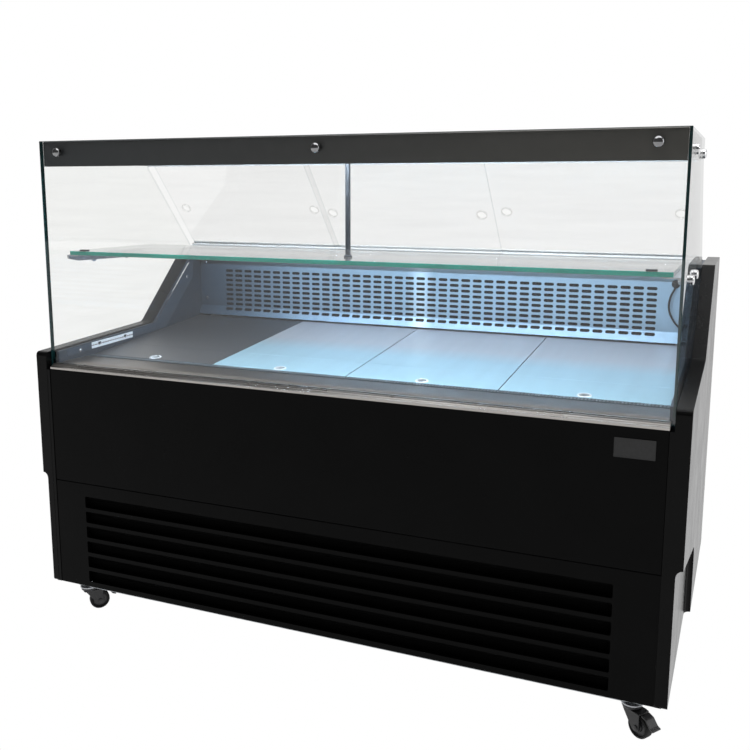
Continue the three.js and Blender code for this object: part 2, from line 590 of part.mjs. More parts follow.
const evaporatorFins = spread(11, 88).map((x) => box([x - 1.5, x + 1.5], [332, 428], [548, 632]));
const evaporatorTubes = [[355, 590], [405, 590]].map((centre) => rod('x', 8, centre, [-490, 490], 6));
const evaporatorCheeks = [-492, 486].map((x) => box([x, x + 6], [328, 432], [TUB_FLOOR_Z + GAP, 640]));
place('evaporator_coil', joined(...evaporatorFins, ...evaporatorTubes, ...evaporatorCheeks), aluminium);

const BLOWER = { x: 300, y: 480, z: 592, radius: 40 };
const blowerPlate = cut(
  box([-680, 680], [466, 468], [TUB_FLOOR_Z + GAP, 650]),
  ...[-BLOWER.x, BLOWER.x].map((x) => rod('y', BLOWER.radius + 3, [BLOWER.z, x], [450, 480], 24)));
const blowerMotors = [-BLOWER.x, BLOWER.x].flatMap((x) => [
  rod('y', 20, [BLOWER.z, x], [498, 540], 16),
  box([x - 50, x + 50], [494, 500], [BLOWER.z - 5, BLOWER.z + 5]),
  box([x - 50, x - 46], [466, 500], [BLOWER.z - 5, BLOWER.z + 5]),
  box([x + 46, x + 50], [466, 500], [BLOWER.z - 5, BLOWER.z + 5])]);
place('evaporator_fan_plate', joined(blowerPlate, ...blowerMotors), galvanised);
[['left', -1], ['right', 1]].forEach(([side, sign]) => {
  const blower = fan([sign * BLOWER.x, BLOWER.y, BLOWER.z], BLOWER.radius, 5, 14);
  place(`evaporator_fan_${side}`, blower, darkPlastic);
});

const trayOutline = rounded([[-560, 330], [-300, 330], [-300, 560], [-560, 560]], 14);
const trayHollow = rounded([[-556, 334], [-304, 334], [-304, 556], [-556, 556]], 11);
const trayZ = FRAME_TOP_Z + GAP;
const tray = cut(
  prism('z', trayOutline, [trayZ, trayZ + 55]), prism('z', trayHollow, [trayZ + 3, trayZ + 60]));
place('drain_tray', tray, darkPlastic);

// ---------------------------------------------------------------- controls on the back
const controlFace = REAR_FACE_Y + 4;
const buttonX = [CONTROL.x + 22, CONTROL.x + 35];
const controller = cut(
  joined(
    box([CONTROL.x - 41, CONTROL.x + 41], [862, REAR_FACE_Y + 1], [CONTROL.z - 15, CONTROL.z + 15]),
    box([CONTROL.x - CONTROL.width / 2, CONTROL.x + CONTROL.width / 2], [REAR_FACE_Y + GAP, controlFace],
      [CONTROL.z - CONTROL.height / 2, CONTROL.z + CONTROL.height / 2])),
  box([CONTROL.x - 32, CONTROL.x + 10], [controlFace - 1.5, 930], [CONTROL.z - 11, CONTROL.z + 11]),
  ...buttonX.map((x) => box([x - 5, x + 5], [controlFace - 7, 930], [CONTROL.z - 8, CONTROL.z + 8])));
place('controller', controller, darkPlastic);
['up', 'down'].forEach((label, i) => {
  const outline = rounded([[-7, -4], [7, -4], [7, 4], [-7, 4]], 2, 2)
    .map(([z, x]) => [CONTROL.z + z, buttonX[i] + x]);
  place(`controller_button_${label}`, prism('y', outline, [controlFace - 4, controlFace + 2]), rubber);
});
const rocker = [[REAR_FACE_Y - 10, SWITCH.z - 9], [REAR_FACE_Y + 1, SWITCH.z - 9],
  [REAR_FACE_Y + 6, SWITCH.z + 9], [REAR_FACE_Y - 10, SWITCH.z + 9]];
place('power_switch', prism('x', rocker, [SWITCH.x - 12, SWITCH.x + 12]), darkPlastic);

// ---------------------------------------------------------------- lamp lead on the duct panel
const leadRoute = [[684, 666, 858], [682, 662, 846], [674, 660, 828], [670, 660, 806], [673, 660, 786],
  [682, 660, 768], [696, 660, 751], [708, 662, 742]].map((point) => new THREE.Vector3(...point));
const leadSection = Array.from({ length: 8 }, (_, i) => (i * Math.PI) / 4)
  .map((angle) => [2.5 * Math.cos(angle), 2.5 * Math.sin(angle)]);
const lead = new THREE.ExtrudeGeometry(toShape(leadSection), {
  steps: 14,
  extrudePath: new THREE.CatmullRomCurve3(leadRoute),
});
place('lamp_lead', lead, rubber);

// ---------------------------------------------------------------- castors
// Each fork is drawn with its trail along +X and its swivel axis on the origin, then turned and moved.
function castorFork() {
  const { wheelRadius, wheelWidth, height, trail } = CASTOR;
  const head = turned('z', [[0, height - 14], [17, height - 14], [21, height - 11], [23, height - 5],
    [23, height - GAP], [0, height - GAP]], [0, 0], 16);
  const crownZ = [height - 17, height - 13];
  const crownOutline = [[-16, -15.5], [trail + 8, -15.5], [trail + 8, 15.5], [-16, 15.5]];
  const crown = prism('z', rounded(crownOutline, 8, 3), crownZ);
  const legOutline = rounded([[crownZ[1] - 1, -12], [crownZ[1] - 1, trail + 7],
    [wheelRadius - 8, trail + 8], [wheelRadius - 8, trail - 8]], [2, 2, 7, 7], 3);
  const legs = [-1, 1].map((side) => {
    const y = side * (wheelWidth / 2 + 4);
    return prism('y', legOutline, [y - 1.25, y + 1.25]);
  });
  const axle = rod('y', 4, [wheelRadius, trail], [-wheelWidth / 2 - 7, wheelWidth / 2 + 7], 10);
  return joined(head, crown, ...legs, axle);
}

function castorWheel() {
  const { wheelRadius, wheelWidth, trail } = CASTOR;
  const half = wheelWidth / 2;
  const [bore, hub, rim] = [4.4, 9, wheelRadius - 7];
  const flank = [[bore, half + 1], [hub, half + 1], [hub + 2, half - 3], [rim, half - 3], [rim + 2, half],
    [wheelRadius - 2, half], [wheelRadius, half - 3]];
  const section = [...flank.map(([r, y]) => [r, -y]), ...flank.reverse(), [bore, -half - 1]];
  return turned('y', section, [wheelRadius, trail], 20);
}

function brakePedal() {
  const { wheelRadius, trail } = CASTOR;
  const section = [[trail + 10, wheelRadius + 29], [trail + 22, wheelRadius + 25],
    [trail + 33, wheelRadius + 12], [trail + 41, wheelRadius + 9]];
  return prism('y', bentSheet(section.map(([x, z]) => [z, x]), 3), [-12, 12]);
}

CASTOR_NAMES.forEach((name, i) => {
  const castor = new THREE.Group();
  const x = name.endsWith('left') ? -CASTOR.x : CASTOR.x;
  castor.position.set(x, i < 2 ? CASTOR.frontY : CASTOR.rearY, 0);
  castor.rotation.z = CASTOR_TURNS[i];
  model.add(castor);
  place(`castor_fork_${name}`, castorFork(), darkPlastic, castor);
  place(`castor_wheel_${name}`, castorWheel(), rubber, castor);
  if (i < 2) place(`brake_pedal_${name}`, brakePedal(), darkPlastic, castor);
});

export default model;
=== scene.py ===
import math

import bmesh
import bpy
from mathutils import Matrix, Vector


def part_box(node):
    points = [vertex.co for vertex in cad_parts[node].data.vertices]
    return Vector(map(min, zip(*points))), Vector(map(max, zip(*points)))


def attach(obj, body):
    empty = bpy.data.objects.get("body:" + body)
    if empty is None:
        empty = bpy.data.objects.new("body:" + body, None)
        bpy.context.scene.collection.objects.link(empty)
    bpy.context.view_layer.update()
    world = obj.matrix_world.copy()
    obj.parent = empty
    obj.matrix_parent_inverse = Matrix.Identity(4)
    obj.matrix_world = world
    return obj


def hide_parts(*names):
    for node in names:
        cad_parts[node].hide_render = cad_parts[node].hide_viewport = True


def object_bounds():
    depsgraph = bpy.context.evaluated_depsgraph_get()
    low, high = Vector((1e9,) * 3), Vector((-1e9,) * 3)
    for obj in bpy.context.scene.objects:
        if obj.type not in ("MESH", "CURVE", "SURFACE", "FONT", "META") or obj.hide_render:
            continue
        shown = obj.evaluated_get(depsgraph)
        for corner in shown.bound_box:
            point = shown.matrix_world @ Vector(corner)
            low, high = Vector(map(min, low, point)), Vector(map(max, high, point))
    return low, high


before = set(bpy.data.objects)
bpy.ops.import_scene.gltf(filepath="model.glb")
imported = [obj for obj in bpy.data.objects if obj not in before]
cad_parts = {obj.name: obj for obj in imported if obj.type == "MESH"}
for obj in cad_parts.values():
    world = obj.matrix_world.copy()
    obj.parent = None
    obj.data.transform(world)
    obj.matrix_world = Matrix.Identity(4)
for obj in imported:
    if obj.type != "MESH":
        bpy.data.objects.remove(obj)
CAD_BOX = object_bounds()
FRONT = CAD_BOX[0].y


def at(depth):
    return FRONT + depth


# ---------------------------------------------------------------- camera
CAMERA_PLACE = (0.852429, at(-1.694359), 1.088936)
CAMERA_YAW = 22.758
CAMERA_PITCH = -9.465
CAMERA_ROLL = 0.145
LENS = 42.860
SENSOR = 36.0
SHIFT_Y = -0.04734

lens = bpy.data.cameras.new("camera")
lens.sensor_width = SENSOR
lens.lens = LENS
lens.shift_y = SHIFT_Y
camera = bpy.data.objects.new("camera", lens)
turn = Matrix.Rotation(math.radians(CAMERA_YAW), 4, "Z")
tilt = Matrix.Rotation(math.radians(90 + CAMERA_PITCH), 4, "X")
roll = Matrix.Rotation(math.radians(CAMERA_ROLL), 4, "Z")
camera.matrix_world = Matrix.Translation(CAMERA_PLACE) @ turn @ tilt @ roll
bpy.context.scene.collection.objects.link(camera)
bpy.context.scene.camera = camera
bpy.context.scene.view_settings.view_transform = "Standard"


# ---------------------------------------------------------------- shape helpers
TO_SPACE = {
    "x": lambda u, v, w: (w, u, v),
    "y": lambda u, v, w: (u, w, v),
    "z": lambda u, v, w: (u, v, w),
}


def taken(bm, slot):
    """The vertices, faces and material number of a finished bmesh."""
    bmesh.ops.recalc_face_normals(bm, faces=bm.faces)
    bm.verts.index_update()
    verts = [v.co.copy() for v in bm.verts]
    faces = [[v.index for v in f.verts] for f in bm.faces]
    bm.free()
    return verts, faces, slot


def soften(bm, width, segments=2, limit=0.5):
    """Rounds the edges that turn by more than limit, in radians."""
    edges = [e for e in bm.edges if len(e.link_faces) == 2 and e.calc_face_angle() > limit]
    bmesh.ops.bevel(bm, geom=edges, offset=width, segments=segments, profile=0.5, affect="EDGES",
                    clamp_overlap=True)


def slab(x, y, z, edge=0.0008, slot=0, segments=2):
    """A block between pairs of x, y and z, with rounded edges."""
    bm = bmesh.new()
    bmesh.ops.create_cube(bm, size=1)
    for v in bm.verts:
        v.co = Vector((x[v.co.x > 0], y[v.co.y > 0], z[v.co.z > 0]))
    soften(bm, edge, segments)
    return taken(bm, slot)


def extruded(axis, outline, span, edge=0.0, slot=0, segments=2):
    """An outline of (y, z), (x, z) or (x, y) points, extruded along the x, y or z axis."""
    bm = bmesh.new()
    near, far = ([bm.verts.new(TO_SPACE[axis](u, v, w)) for u, v in outline] for w in span)
    bm.faces.new(near)
    bm.faces.new(far)
    for i in range(len(outline)):
        bm.faces.new((near[i - 1], near[i], far[i], far[i - 1]))
    bmesh.ops.recalc_face_normals(bm, faces=bm.faces)
    if edge:
        soften(bm, edge, segments)
    return taken(bm, slot)


def turned(axis, profile, centre, steps=32, slot=0):
    """A closed profile of (radius, distance along the axis) points, turned about the axis."""
    bm = bmesh.new()
    rings = []
    for radius, along in profile:
        angles = [2 * math.pi * k / steps for k in range(steps)] if radius > 1e-6 else [0.0]
        rings.append([bm.verts.new(TO_SPACE[axis](
            centre[0] + radius * math.cos(a), centre[1] + radius * math.sin(a), along)) for a in angles])
    ends_closed = len(rings[0]) == 1 and len(rings[-1]) == 1
    pairs = list(zip(rings, rings[1:])) if ends_closed else list(zip(rings, rings[1:] + rings[:1]))
    for lower, upper in pairs:
        for k in range(steps):
            a, b = lower[k % len(lower)], lower[(k + 1) % len(lower)]
            c, d = upper[(k + 1) % len(upper)], upper[k % len(upper)]
            corners = [v for i, v in enumerate((a, b, c, d)) if v not in (a, b, c, d)[:i]]
            if len(corners) > 2:
                bm.faces.new(corners)
    return taken(bm, slot)


def tube(points, radius, sides=10, slot=0):
    """A round rod that follows a list of points."""
    bm = bmesh.new()
    points = [Vector(p) for p in points]
    ring_before = None
    up = Vector((0, 0, 1)) if abs((points[1] - points[0]).normalized().z) < 0.9 else Vector((1, 0, 0))
    first = None
    for i, point in enumerate(points):
        along = (points[min(i + 1, len(points) - 1)] - points[max(i - 1, 0)]).normalized()
        side = up.cross(along).normalized()
        up = along.cross(side).normalized()
        ring = [bm.verts.new(point + radius * (side * math.cos(a) + up * math.sin(a)))
                for a in (2 * math.pi * k / sides for k in range(sides))]
        if ring_before:
            for k in range(sides):
                bm.faces.new((ring_before[k - 1], ring_before[k], ring[k], ring[k - 1]))
        first = first or ring
        ring_before = ring
    bm.faces.new(first)
    bm.faces.new(ring_before)
    return taken(bm, slot)


def smooth_path(points):
    """Points on the smooth curve through a few points."""
    steps = 6
    p = [Vector(q) for q in points]
    p = [2 * p[0] - p[1], *p, 2 * p[-1] - p[-2]]
    out = []
    for a, b, c, d in zip(p, p[1:], p[2:], p[3:]):
        for k in range(steps):
            t = k / steps
            out.append(0.5 * (2 * b + (c - a) * t + (2 * a - 5 * b + 4 * c - d) * t ** 2
                              + (3 * b - a - 3 * c + d) * t ** 3))
    return [*out, p[-2]]


def rounded(points, radii, steps=5):
    """An outline with its corners rounded, by one radius or by one radius a corner."""
    out = []
    for i, corner in enumerate(points):
        radius = radii[i] if isinstance(radii, (list, tuple)) else radii
        here = Vector(corner)
        before = (Vector(points[i - 1]) - here).normalized()
        after = (Vector(points[(i + 1) % len(points)]) - here).normalized()
        half = math.acos(max(-1.0, min(1.0, before.dot(after)))) / 2
        if not radius or half > 1.55:
            out.append(tuple(corner))
            continue
        middle = here + (before + after).normalized() * (radius / math.sin(half))
        start = here + before * (radius / math.tan(half)) - middle
        end = here + after * (radius / math.tan(half)) - middle
        first = math.atan2(start.y, start.x)
        sweep = (math.atan2(end.y, end.x) - first + math.pi) % (2 * math.pi) - math.pi
        for k in range(steps + 1):
            a = first + sweep * k / steps
            out.append((middle.x + radius * math.cos(a), middle.y + radius * math.sin(a)))
    return out


def bent(line, thick):
    """The outline of a bent sheet: the line of its section, given half its thickness on each side."""
    sides = [], []
    for i, point in enumerate(line):
        here = Vector(point)
        inward = here - Vector(line[i - 1]) if i else Vector(line[1]) - here
        outward = Vector(line[i + 1]) - here if i < len(line) - 1 else inward
        along = (inward.normalized() + outward.normalized()).normalized()
        reach = thick / 2 / max(0.3, along.dot(outward.normalized()))
        sides[0].append((here.x + along.y * reach, here.y - along.x * reach))
        sides[1].append((here.x - along.y * reach, here.y + along.x * reach))
    return sides[0] + sides[1][::-1]


def arced(line, radius):
    """A bent line with its corners rounded and its two ends kept."""
    return rounded(line, [0, *[radius] * (len(line) - 2), 0], 4)


def window(bm, to_space, outer, inner, radius, steps=4):
    """Flat faces between a rectangle and a rounded hole in it: each of them is (u0, u1, v0, v1)."""
    u0, u1, v0, v1 = outer
    a0, a1, b0, b1 = inner
    corners = [(u1, v1), (u0, v1), (u0, v0), (u1, v0)]
    centres = [(a1 - radius, b1 - radius), (a0 + radius, b1 - radius),
               (a0 + radius, b0 + radius), (a1 - radius, b0 + radius)]
    outside = [bm.verts.new(to_space(*c)) for c in corners]
    arcs = []
    for k, (cu, cv) in enumerate(centres):
        angles = [math.pi / 2 * (k + s / steps) for s in range(steps + 1)]
        arcs.append([bm.verts.new(to_space(cu + radius * math.cos(a), cv + radius * math.sin(a)))
                     for a in angles])
    for k in range(4):
        for s in range(steps):
            bm.faces.new((outside[k], arcs[k][s], arcs[k][s + 1]))
        bm.faces.new((outside[k], arcs[k][steps], arcs[(k + 1) % 4][0], outside[(k + 1) % 4]))


def plain(bm, to_space, u0, u1, v0, v1):
    """One flat rectangle."""
    bm.faces.new([bm.verts.new(to_space(u, v)) for u, v in ((u0, v0), (u1, v0), (u1, v1), (u0, v1))])


def thickened(bm, thick, towards, crease=0.0):
    """Joins flat faces into a sheet and gives it its thickness on the side that it is told."""
    bmesh.ops.remove_doubles(bm, verts=bm.verts, dist=1e-5)
    bmesh.ops.dissolve_degenerate(bm, dist=1e-6, edges=bm.edges)
    bmesh.ops.recalc_face_normals(bm, faces=bm.faces)
    if max(bm.faces, key=lambda f: f.calc_area()).normal.dot(Vector(towards)) > 0:
        bmesh.ops.reverse_faces(bm, faces=bm.faces)
    if crease:
        soften(bm, crease, 3, 0.25)
    bmesh.ops.solidify(bm, geom=bm.faces, thickness=thick)
    return taken(bm, 0)


def moved(part, matrix):
    """A finished part, put in its place."""
    verts, faces, slot = part
    return [matrix @ v for v in verts], faces, slot


SHARP_FROM = 32


def build(name, parts, materials, body="case", instead_of=()):
    """One piece from its parts, riding on a body."""
    verts, faces, slots = [], [], []
    for part_verts, part_faces, part_slot in parts:
        start = len(verts)
        verts += part_verts
        faces += [[i + start for i in f] for f in part_faces]
        slots += [part_slot] * len(part_faces)
    mesh = bpy.data.meshes.new(name)
    mesh.from_pydata(verts, [], faces)
    for m in materials:
        mesh.materials.append(m)
    mesh.polygons.foreach_set("material_index", slots)
    mesh.shade_smooth()
    mesh.set_sharp_from_angle(angle=math.radians(SHARP_FROM))
    piece = bpy.data.objects.new(name, mesh)
    bpy.context.scene.collection.objects.link(piece)
    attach(piece, body)
    normals = piece.modifiers.new("normals", "WEIGHTED_NORMAL")
    normals.keep_sharp = True
    if instead_of:
        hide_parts(*instead_of)
    return piece


FLAT_WITHIN = 1
EDGE_FROM = 35


def dress(node, look, edge=0.0, segments=3):
    """Gives a CAD node its material, and rounds its edges where it shows them."""
    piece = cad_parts[node]
    piece.data.materials.clear()
    piece.data.materials.append(look)
    if not edge:
        return
    weld = piece.modifiers.new("weld", "WELD")
    weld.merge_threshold = 1e-5
    flat = piece.modifiers.new("flat", "DECIMATE")
    flat.decimate_type = "DISSOLVE"
    flat.angle_limit = math.radians(FLAT_WITHIN)
    bevel = piece.modifiers.new("edges", "BEVEL")
    bevel.width = edge
    bevel.segments = segments
    bevel.limit_method = "ANGLE"
    bevel.angle_limit = math.radians(EDGE_FROM)
    bevel.harden_normals = True


# ---------------------------------------------------------------- materials
class Nodes:
    """A node tree that starts from one kind of coordinates."""

    def __init__(self, tree, coordinates):
        self.tree = tree
        self.place = tree.nodes.new("ShaderNodeTexCoord").outputs[coordinates]

    def node(self, kind, **values):
        made = self.tree.nodes.new(kind)
        for key, value in values.items():
            setattr(made, key, value)
        return made

    def link(self, source, target):
        self.tree.links.new(source, target)
        return target

    def scaled(self, scale):
        mapping = self.node("ShaderNodeMapping")
        mapping.inputs["Scale"].default_value = scale
        self.link(self.place, mapping.inputs["Vector"])
        return mapping.outputs["Vector"]

    def noise(self, scale, detail=2.0, rough=0.5):
        noise = self.node("ShaderNodeTexNoise")
        noise.inputs["Scale"].default_value = 1.0
        noise.inputs["Detail"].default_value = detail
        noise.inputs["Roughness"].default_value = rough
        self.link(self.scaled(scale), noise.inputs["Vector"])
        return noise.outputs["Fac"]

    def ramp(self, value, stops):
        ramp = self.node("ShaderNodeValToRGB")
        elements = ramp.color_ramp.elements
        while len(elements) < len(stops):
            elements.new(0.5)
        for element, (place, colour) in zip(elements, stops):
            element.position = place
            element.color = (*colour, 1.0)
        self.link(value, ramp.inputs["Fac"])
        return ramp.outputs["Color"]

    def range(self, value, low, high, start=0.3, end=0.7):
        spread = self.node("ShaderNodeMapRange")
        for socket, number in zip(("From Min", "From Max", "To Min", "To Max"), (start, end, low, high)):
            spread.inputs[socket].default_value = number
        self.link(value, spread.inputs["Value"])
        return spread.outputs["Result"]

    def math(self, operation, *values):
        """A maths node, fed with sockets and numbers."""
        made = self.node("ShaderNodeMath", operation=operation)
        for value, socket in zip(values, made.inputs):
            if isinstance(value, (int, float)):
                socket.default_value = value
            else:
                self.link(value, socket)
        return made.outputs[0]

    def axis(self, name):
        split = self.node("ShaderNodeSeparateXYZ")
        self.link(self.place, split.inputs[0])
        return split.outputs[name]

    def mixed_shaders(self, share, first, second):
        """The surface is first where share is 0 and second where it is 1."""
        mix = self.node("ShaderNodeMixShader")
        for source, socket in zip((share, first, second), mix.inputs):
            self.link(source, socket)
        self.link(mix.outputs[0], self.tree.nodes["Material Output"].inputs["Surface"])


class Look(Nodes):
    """A node material that starts from object coordinates."""

    def __init__(self, name, roughness=0.5, metallic=0.0, specular=0.5):
        self.material = bpy.data.materials.new(name)
        self.material.use_nodes = True
        super().__init__(self.material.node_tree, "Object")
        self.shader = self.tree.nodes["Principled BSDF"]
        self.shader.inputs["Roughness"].default_value = roughness
        self.shader.inputs["Metallic"].default_value = metallic
        self.shader.inputs["Specular IOR Level"].default_value = specular

    def bump(self, value, depth):
        bump = self.node("ShaderNodeBump")
        bump.inputs["Distance"].default_value = depth
        self.link(value, bump.inputs["Height"])
        self.link(bump.outputs["Normal"], self.shader.inputs["Normal"])

    def colour(self, socket):
        self.link(socket, self.shader.inputs["Base Color"])


def worn(name, dark, light, roughness, metallic=0.0, specular=0.5, cloud=8.0, grain=900, depth=5e-5,
         **sockets):
    """A finish whose colour and roughness wander, with a fine grain: one scale, or one for each axis."""
    look = Look(name, metallic=metallic, specular=specular)
    wander = look.noise((cloud,) * 3, 4.0, 0.6)
    fine = look.noise(grain if isinstance(grain, tuple) else (grain,) * 3)
    both = look.math("MULTIPLY_ADD", fine, 0.2, look.math("MULTIPLY", wander, 0.8))
    look.colour(look.ramp(both, [(0.35, dark), (0.65, light)]))
    look.link(look.range(both, *roughness), look.shader.inputs["Roughness"])
    look.bump(fine, depth)
    for socket, value in sockets.items():
        look.shader.inputs[socket.replace("_", " ")].default_value = value
    return look.material


PANE_HAZE = 0.004


def pane(name, tint, edge_mirror=0.04, slant_mirror=0.9):
    """Thin clear sheet: what is behind it shows unbent through its tint, and it mirrors more at a slant."""
    look = Look(name)
    look.tree.nodes.remove(look.shader)
    facing = look.node("ShaderNodeLayerWeight")
    facing.inputs["Blend"].default_value = 0.5
    slant = look.math("POWER", facing.outputs["Facing"], 5.0)
    smear = look.noise((3, 3, 40), 3.0, 0.6)
    through = look.node("ShaderNodeBsdfTransparent")
    cleaner = tuple(min(1.0, 1.015 * c) for c in tint)
    look.link(look.ramp(smear, [(0.3, tint), (0.7, cleaner)]), through.inputs["Color"])
    gloss = look.node("ShaderNodeBsdfGlossy")
    gloss.inputs["Roughness"].default_value = PANE_HAZE
    mirror = look.range(slant, edge_mirror, slant_mirror, 0.0, 1.0)
    look.mixed_shaders(mirror, through.outputs[0], gloss.outputs[0])
    return look.material


def galvanised(name, dark, light, flakes=60.0):
    """Zinc-coated sheet with its spangle."""
    look = Look(name, metallic=0.85)
    cells = look.node("ShaderNodeTexVoronoi")
    cells.inputs["Scale"].default_value = flakes
    look.link(look.place, cells.inputs["Vector"])
    grey = look.node("ShaderNodeSeparateColor")
    look.link(cells.outputs["Color"], grey.inputs["Color"])
    look.colour(look.ramp(grey.outputs["Red"], [(0.0, dark), (1.0, light)]))
    look.link(look.range(grey.outputs["Green"], 0.35, 0.55, 0.0, 1.0), look.shader.inputs["Roughness"])
    look.bump(look.noise((700, 700, 700)), 2e-5)
    return look.material


def glowing(name, colour, strength):
    look = Look(name, roughness=0.5)
    cover = look.noise((40, 400, 400), 2.0)
    look.colour(look.ramp(cover, [(0.3, tuple(0.9 * c for c in colour)), (0.7, colour)]))
    look.shader.inputs["Emission Color"].default_value = (*colour, 1.0)
    look.shader.inputs["Emission Strength"].default_value = strength
    return look.material


def strip_scale(name):
    """White label strip with a thin brown line and plain ticks along it."""
    look = Look(name, roughness=0.3)
    y = look.axis("Y")
    tick = look.range(look.math("PINGPONG", y, 0.005), 1.0, 0.0, 0.0004, 0.0009)
    level = look.math("MULTIPLY_ADD", y, -STRIP_SLOPE, look.axis("Z"))
    off = look.math("SUBTRACT", level, STRIP_MIDDLE_Z - STRIP_SLOPE * STRIP_MIDDLE_Y)
    distance = look.math("ABSOLUTE", off)
    line = look.range(distance, 1.0, 0.0, 0.0006, 0.0010)
    band = look.range(distance, 1.0, 0.0, 0.0022, 0.0026)
    inked = look.math("MAXIMUM", look.math("MULTIPLY", tick, band), line)
    look.colour(look.ramp(inked, [(0.0, (0.86, 0.88, 0.9)), (1.0, (0.12, 0.05, 0.03))]))
    look.bump(look.noise((500, 500, 500)), 1e-5)
    return look.material


def along(name, axis, stops, roughness, metallic):
    """Brushed sheet whose tone changes along one axis, at the places given in its stops, which carry painted
    light and shade.
    """
    look = Look(name, roughness=roughness, metallic=metallic)
    first, last = stops[0][0], stops[-1][0]
    share = look.range(look.axis(axis), 0.0, 1.0, first, last)
    tone = look.ramp(share, [((place - first) / (last - first), colour) for place, colour in stops])
    fine = look.noise((45, 0.8, 45), 0.0)
    mixed = look.node("ShaderNodeMix", data_type="RGBA", blend_type="MULTIPLY")
    mixed.inputs["Factor"].default_value = 1.0
    look.link(tone, mixed.inputs["A"])
    look.link(look.ramp(fine, [(0.3, (0.95,) * 3), (0.7, (1.0,) * 3)]), mixed.inputs["B"])
    look.colour(mixed.outputs["Result"])
    return look.material


# The thermometer strip's line on the left wall, which its printed scale follows.
STRIP_FRONT, STRIP_REAR = (at(0.152), 0.6850), (at(0.322), 0.6903)
STRIP_SLOPE = (STRIP_REAR[1] - STRIP_FRONT[1]) / (STRIP_REAR[0] - STRIP_FRONT[0])
STRIP_MIDDLE_Y = (STRIP_FRONT[0] + STRIP_REAR[0]) / 2
STRIP_MIDDLE_Z = (STRIP_FRONT[1] + STRIP_REAR[1]) / 2

black_panel = worn("black_panel", (0.0022,) * 3, (0.0036,) * 3, (0.20, 0.28), specular=0.08, grain=260,
                   depth=1e-5)
black_sheet = worn("black_sheet", (0.0014,) * 3, (0.0024,) * 3, (0.20, 0.28), specular=0.05, grain=500,
                   depth=6e-6)
# Near-black sheet behind the louvres and the duct's slots: painted shade where the case is dark inside.
slot_shade_black = worn("slot_shade_black", (0.0006,) * 3, (0.0014,) * 3, (0.8, 0.95), specular=0.05, grain=900,
                  depth=4e-5)
# Anthracite canopy, darker and cooler at the left end and lighter and warmer at the right: painted light.
anthracite = along("anthracite", "X", [(-0.74, (0.058, 0.063, 0.068)), (0.0, (0.075, 0.076, 0.076)),
                                       (0.74, (0.098, 0.094, 0.086))], 0.40, 0.5)
# Deck steel, blue towards the front and grey towards the rear: painted light of the case lamp.
deck_painted_light = along("deck_painted_light", "Y", [(at(0.17), (0.42, 0.64, 0.72)), (at(0.36), (0.43, 0.60, 0.66)),
                                       (at(0.46), (0.52, 0.52, 0.54)), (at(0.65), (0.46, 0.46, 0.49))],
                   0.30, 0.45)
# Dark grey copy of the deck steel for the first plate: painted shade where the lamp's light does not fall.
plate_painted_shade = worn("plate_painted_shade", (0.095, 0.10, 0.11), (0.115, 0.12, 0.13), (0.36, 0.40), metallic=0.8,
                  cloud=2.0, grain=(40, 3, 40), depth=2e-7)
# Duct steel, dark at the left end and lighter to the right, with a bright band at the centre: painted lamp
# light and a painted highlight.
duct_painted_light = along("duct_painted_light", "X", [(-0.72, (0.035, 0.060, 0.090)), (-0.60, (0.07, 0.115, 0.165)),
                                       (-0.36, (0.24, 0.35, 0.46)), (-0.04, (0.30, 0.43, 0.54)),
                                       (0.0, (0.60, 0.75, 0.85)), (0.04, (0.30, 0.43, 0.54)),
                                       (0.70, (0.34, 0.47, 0.58))], 0.42, 0.45)
# These two dark blue-grey steels, for the wall liners and trims, are painted shade with the case lamp's blue
# light painted in.
liner_painted_shade = worn("liner_painted_shade", (0.018, 0.033, 0.052), (0.030, 0.048, 0.072), (0.38, 0.44), metallic=0.35,
                    specular=0.25, cloud=3.0, grain=(40, 4, 40), depth=2e-7)
trim_painted_shade = worn("trim_painted_shade", (0.035, 0.058, 0.088), (0.055, 0.082, 0.118), (0.34, 0.40), metallic=0.4,
                  specular=0.3, cloud=3.0, grain=(40, 4, 40), depth=2e-7)
stainless = worn("stainless", (0.48, 0.49, 0.50), (0.62, 0.63, 0.64), (0.22, 0.34), metallic=1.0, cloud=4.0,
                 grain=(9, 600, 700), depth=4e-6)
sill_steel = worn("sill_steel", (0.150, 0.130, 0.112), (0.175, 0.153, 0.133), (0.30, 0.34), metallic=1.0,
                  cloud=2.0, grain=(3, 40, 40), depth=2e-7)
aluminium = worn("aluminium", (0.38, 0.36, 0.34), (0.46, 0.44, 0.42), (0.26, 0.30), metallic=1.0, cloud=2.0,
                 grain=(3, 40, 40), depth=2e-7)
# Darker copy of the polished steel for the front knobs: a painted dark reflection.
knob_painted_shade = worn("knob_painted_shade", (0.20, 0.20, 0.205), (0.30, 0.30, 0.305), (0.10, 0.16), metallic=1.0,
                  cloud=90.0, grain=1500, depth=2e-6)
polished = worn("polished", (0.62, 0.62, 0.63), (0.74, 0.74, 0.75), (0.06, 0.12), metallic=1.0, cloud=90.0,
                grain=1500, depth=5e-6)
zinc = worn("zinc", (0.30, 0.31, 0.33), (0.48, 0.49, 0.51), (0.32, 0.5), metallic=0.95, cloud=60.0,
            grain=1200, depth=2e-5)
frame_zinc = galvanised("frame_zinc", (0.30, 0.32, 0.34), (0.46, 0.48, 0.50))
rear_sheet = galvanised("rear_sheet", (0.40, 0.42, 0.44), (0.52, 0.54, 0.56), 90.0)
tub_shell = worn("tub_shell", (0.46, 0.49, 0.52), (0.58, 0.61, 0.64), (0.35, 0.5), metallic=0.7, cloud=10.0,
                 grain=300, depth=3e-5)
dark_plastic = worn("dark_plastic", (0.010, 0.010, 0.011), (0.018, 0.018, 0.020), (0.35, 0.5), cloud=60.0,
                    grain=1400, depth=3e-5)
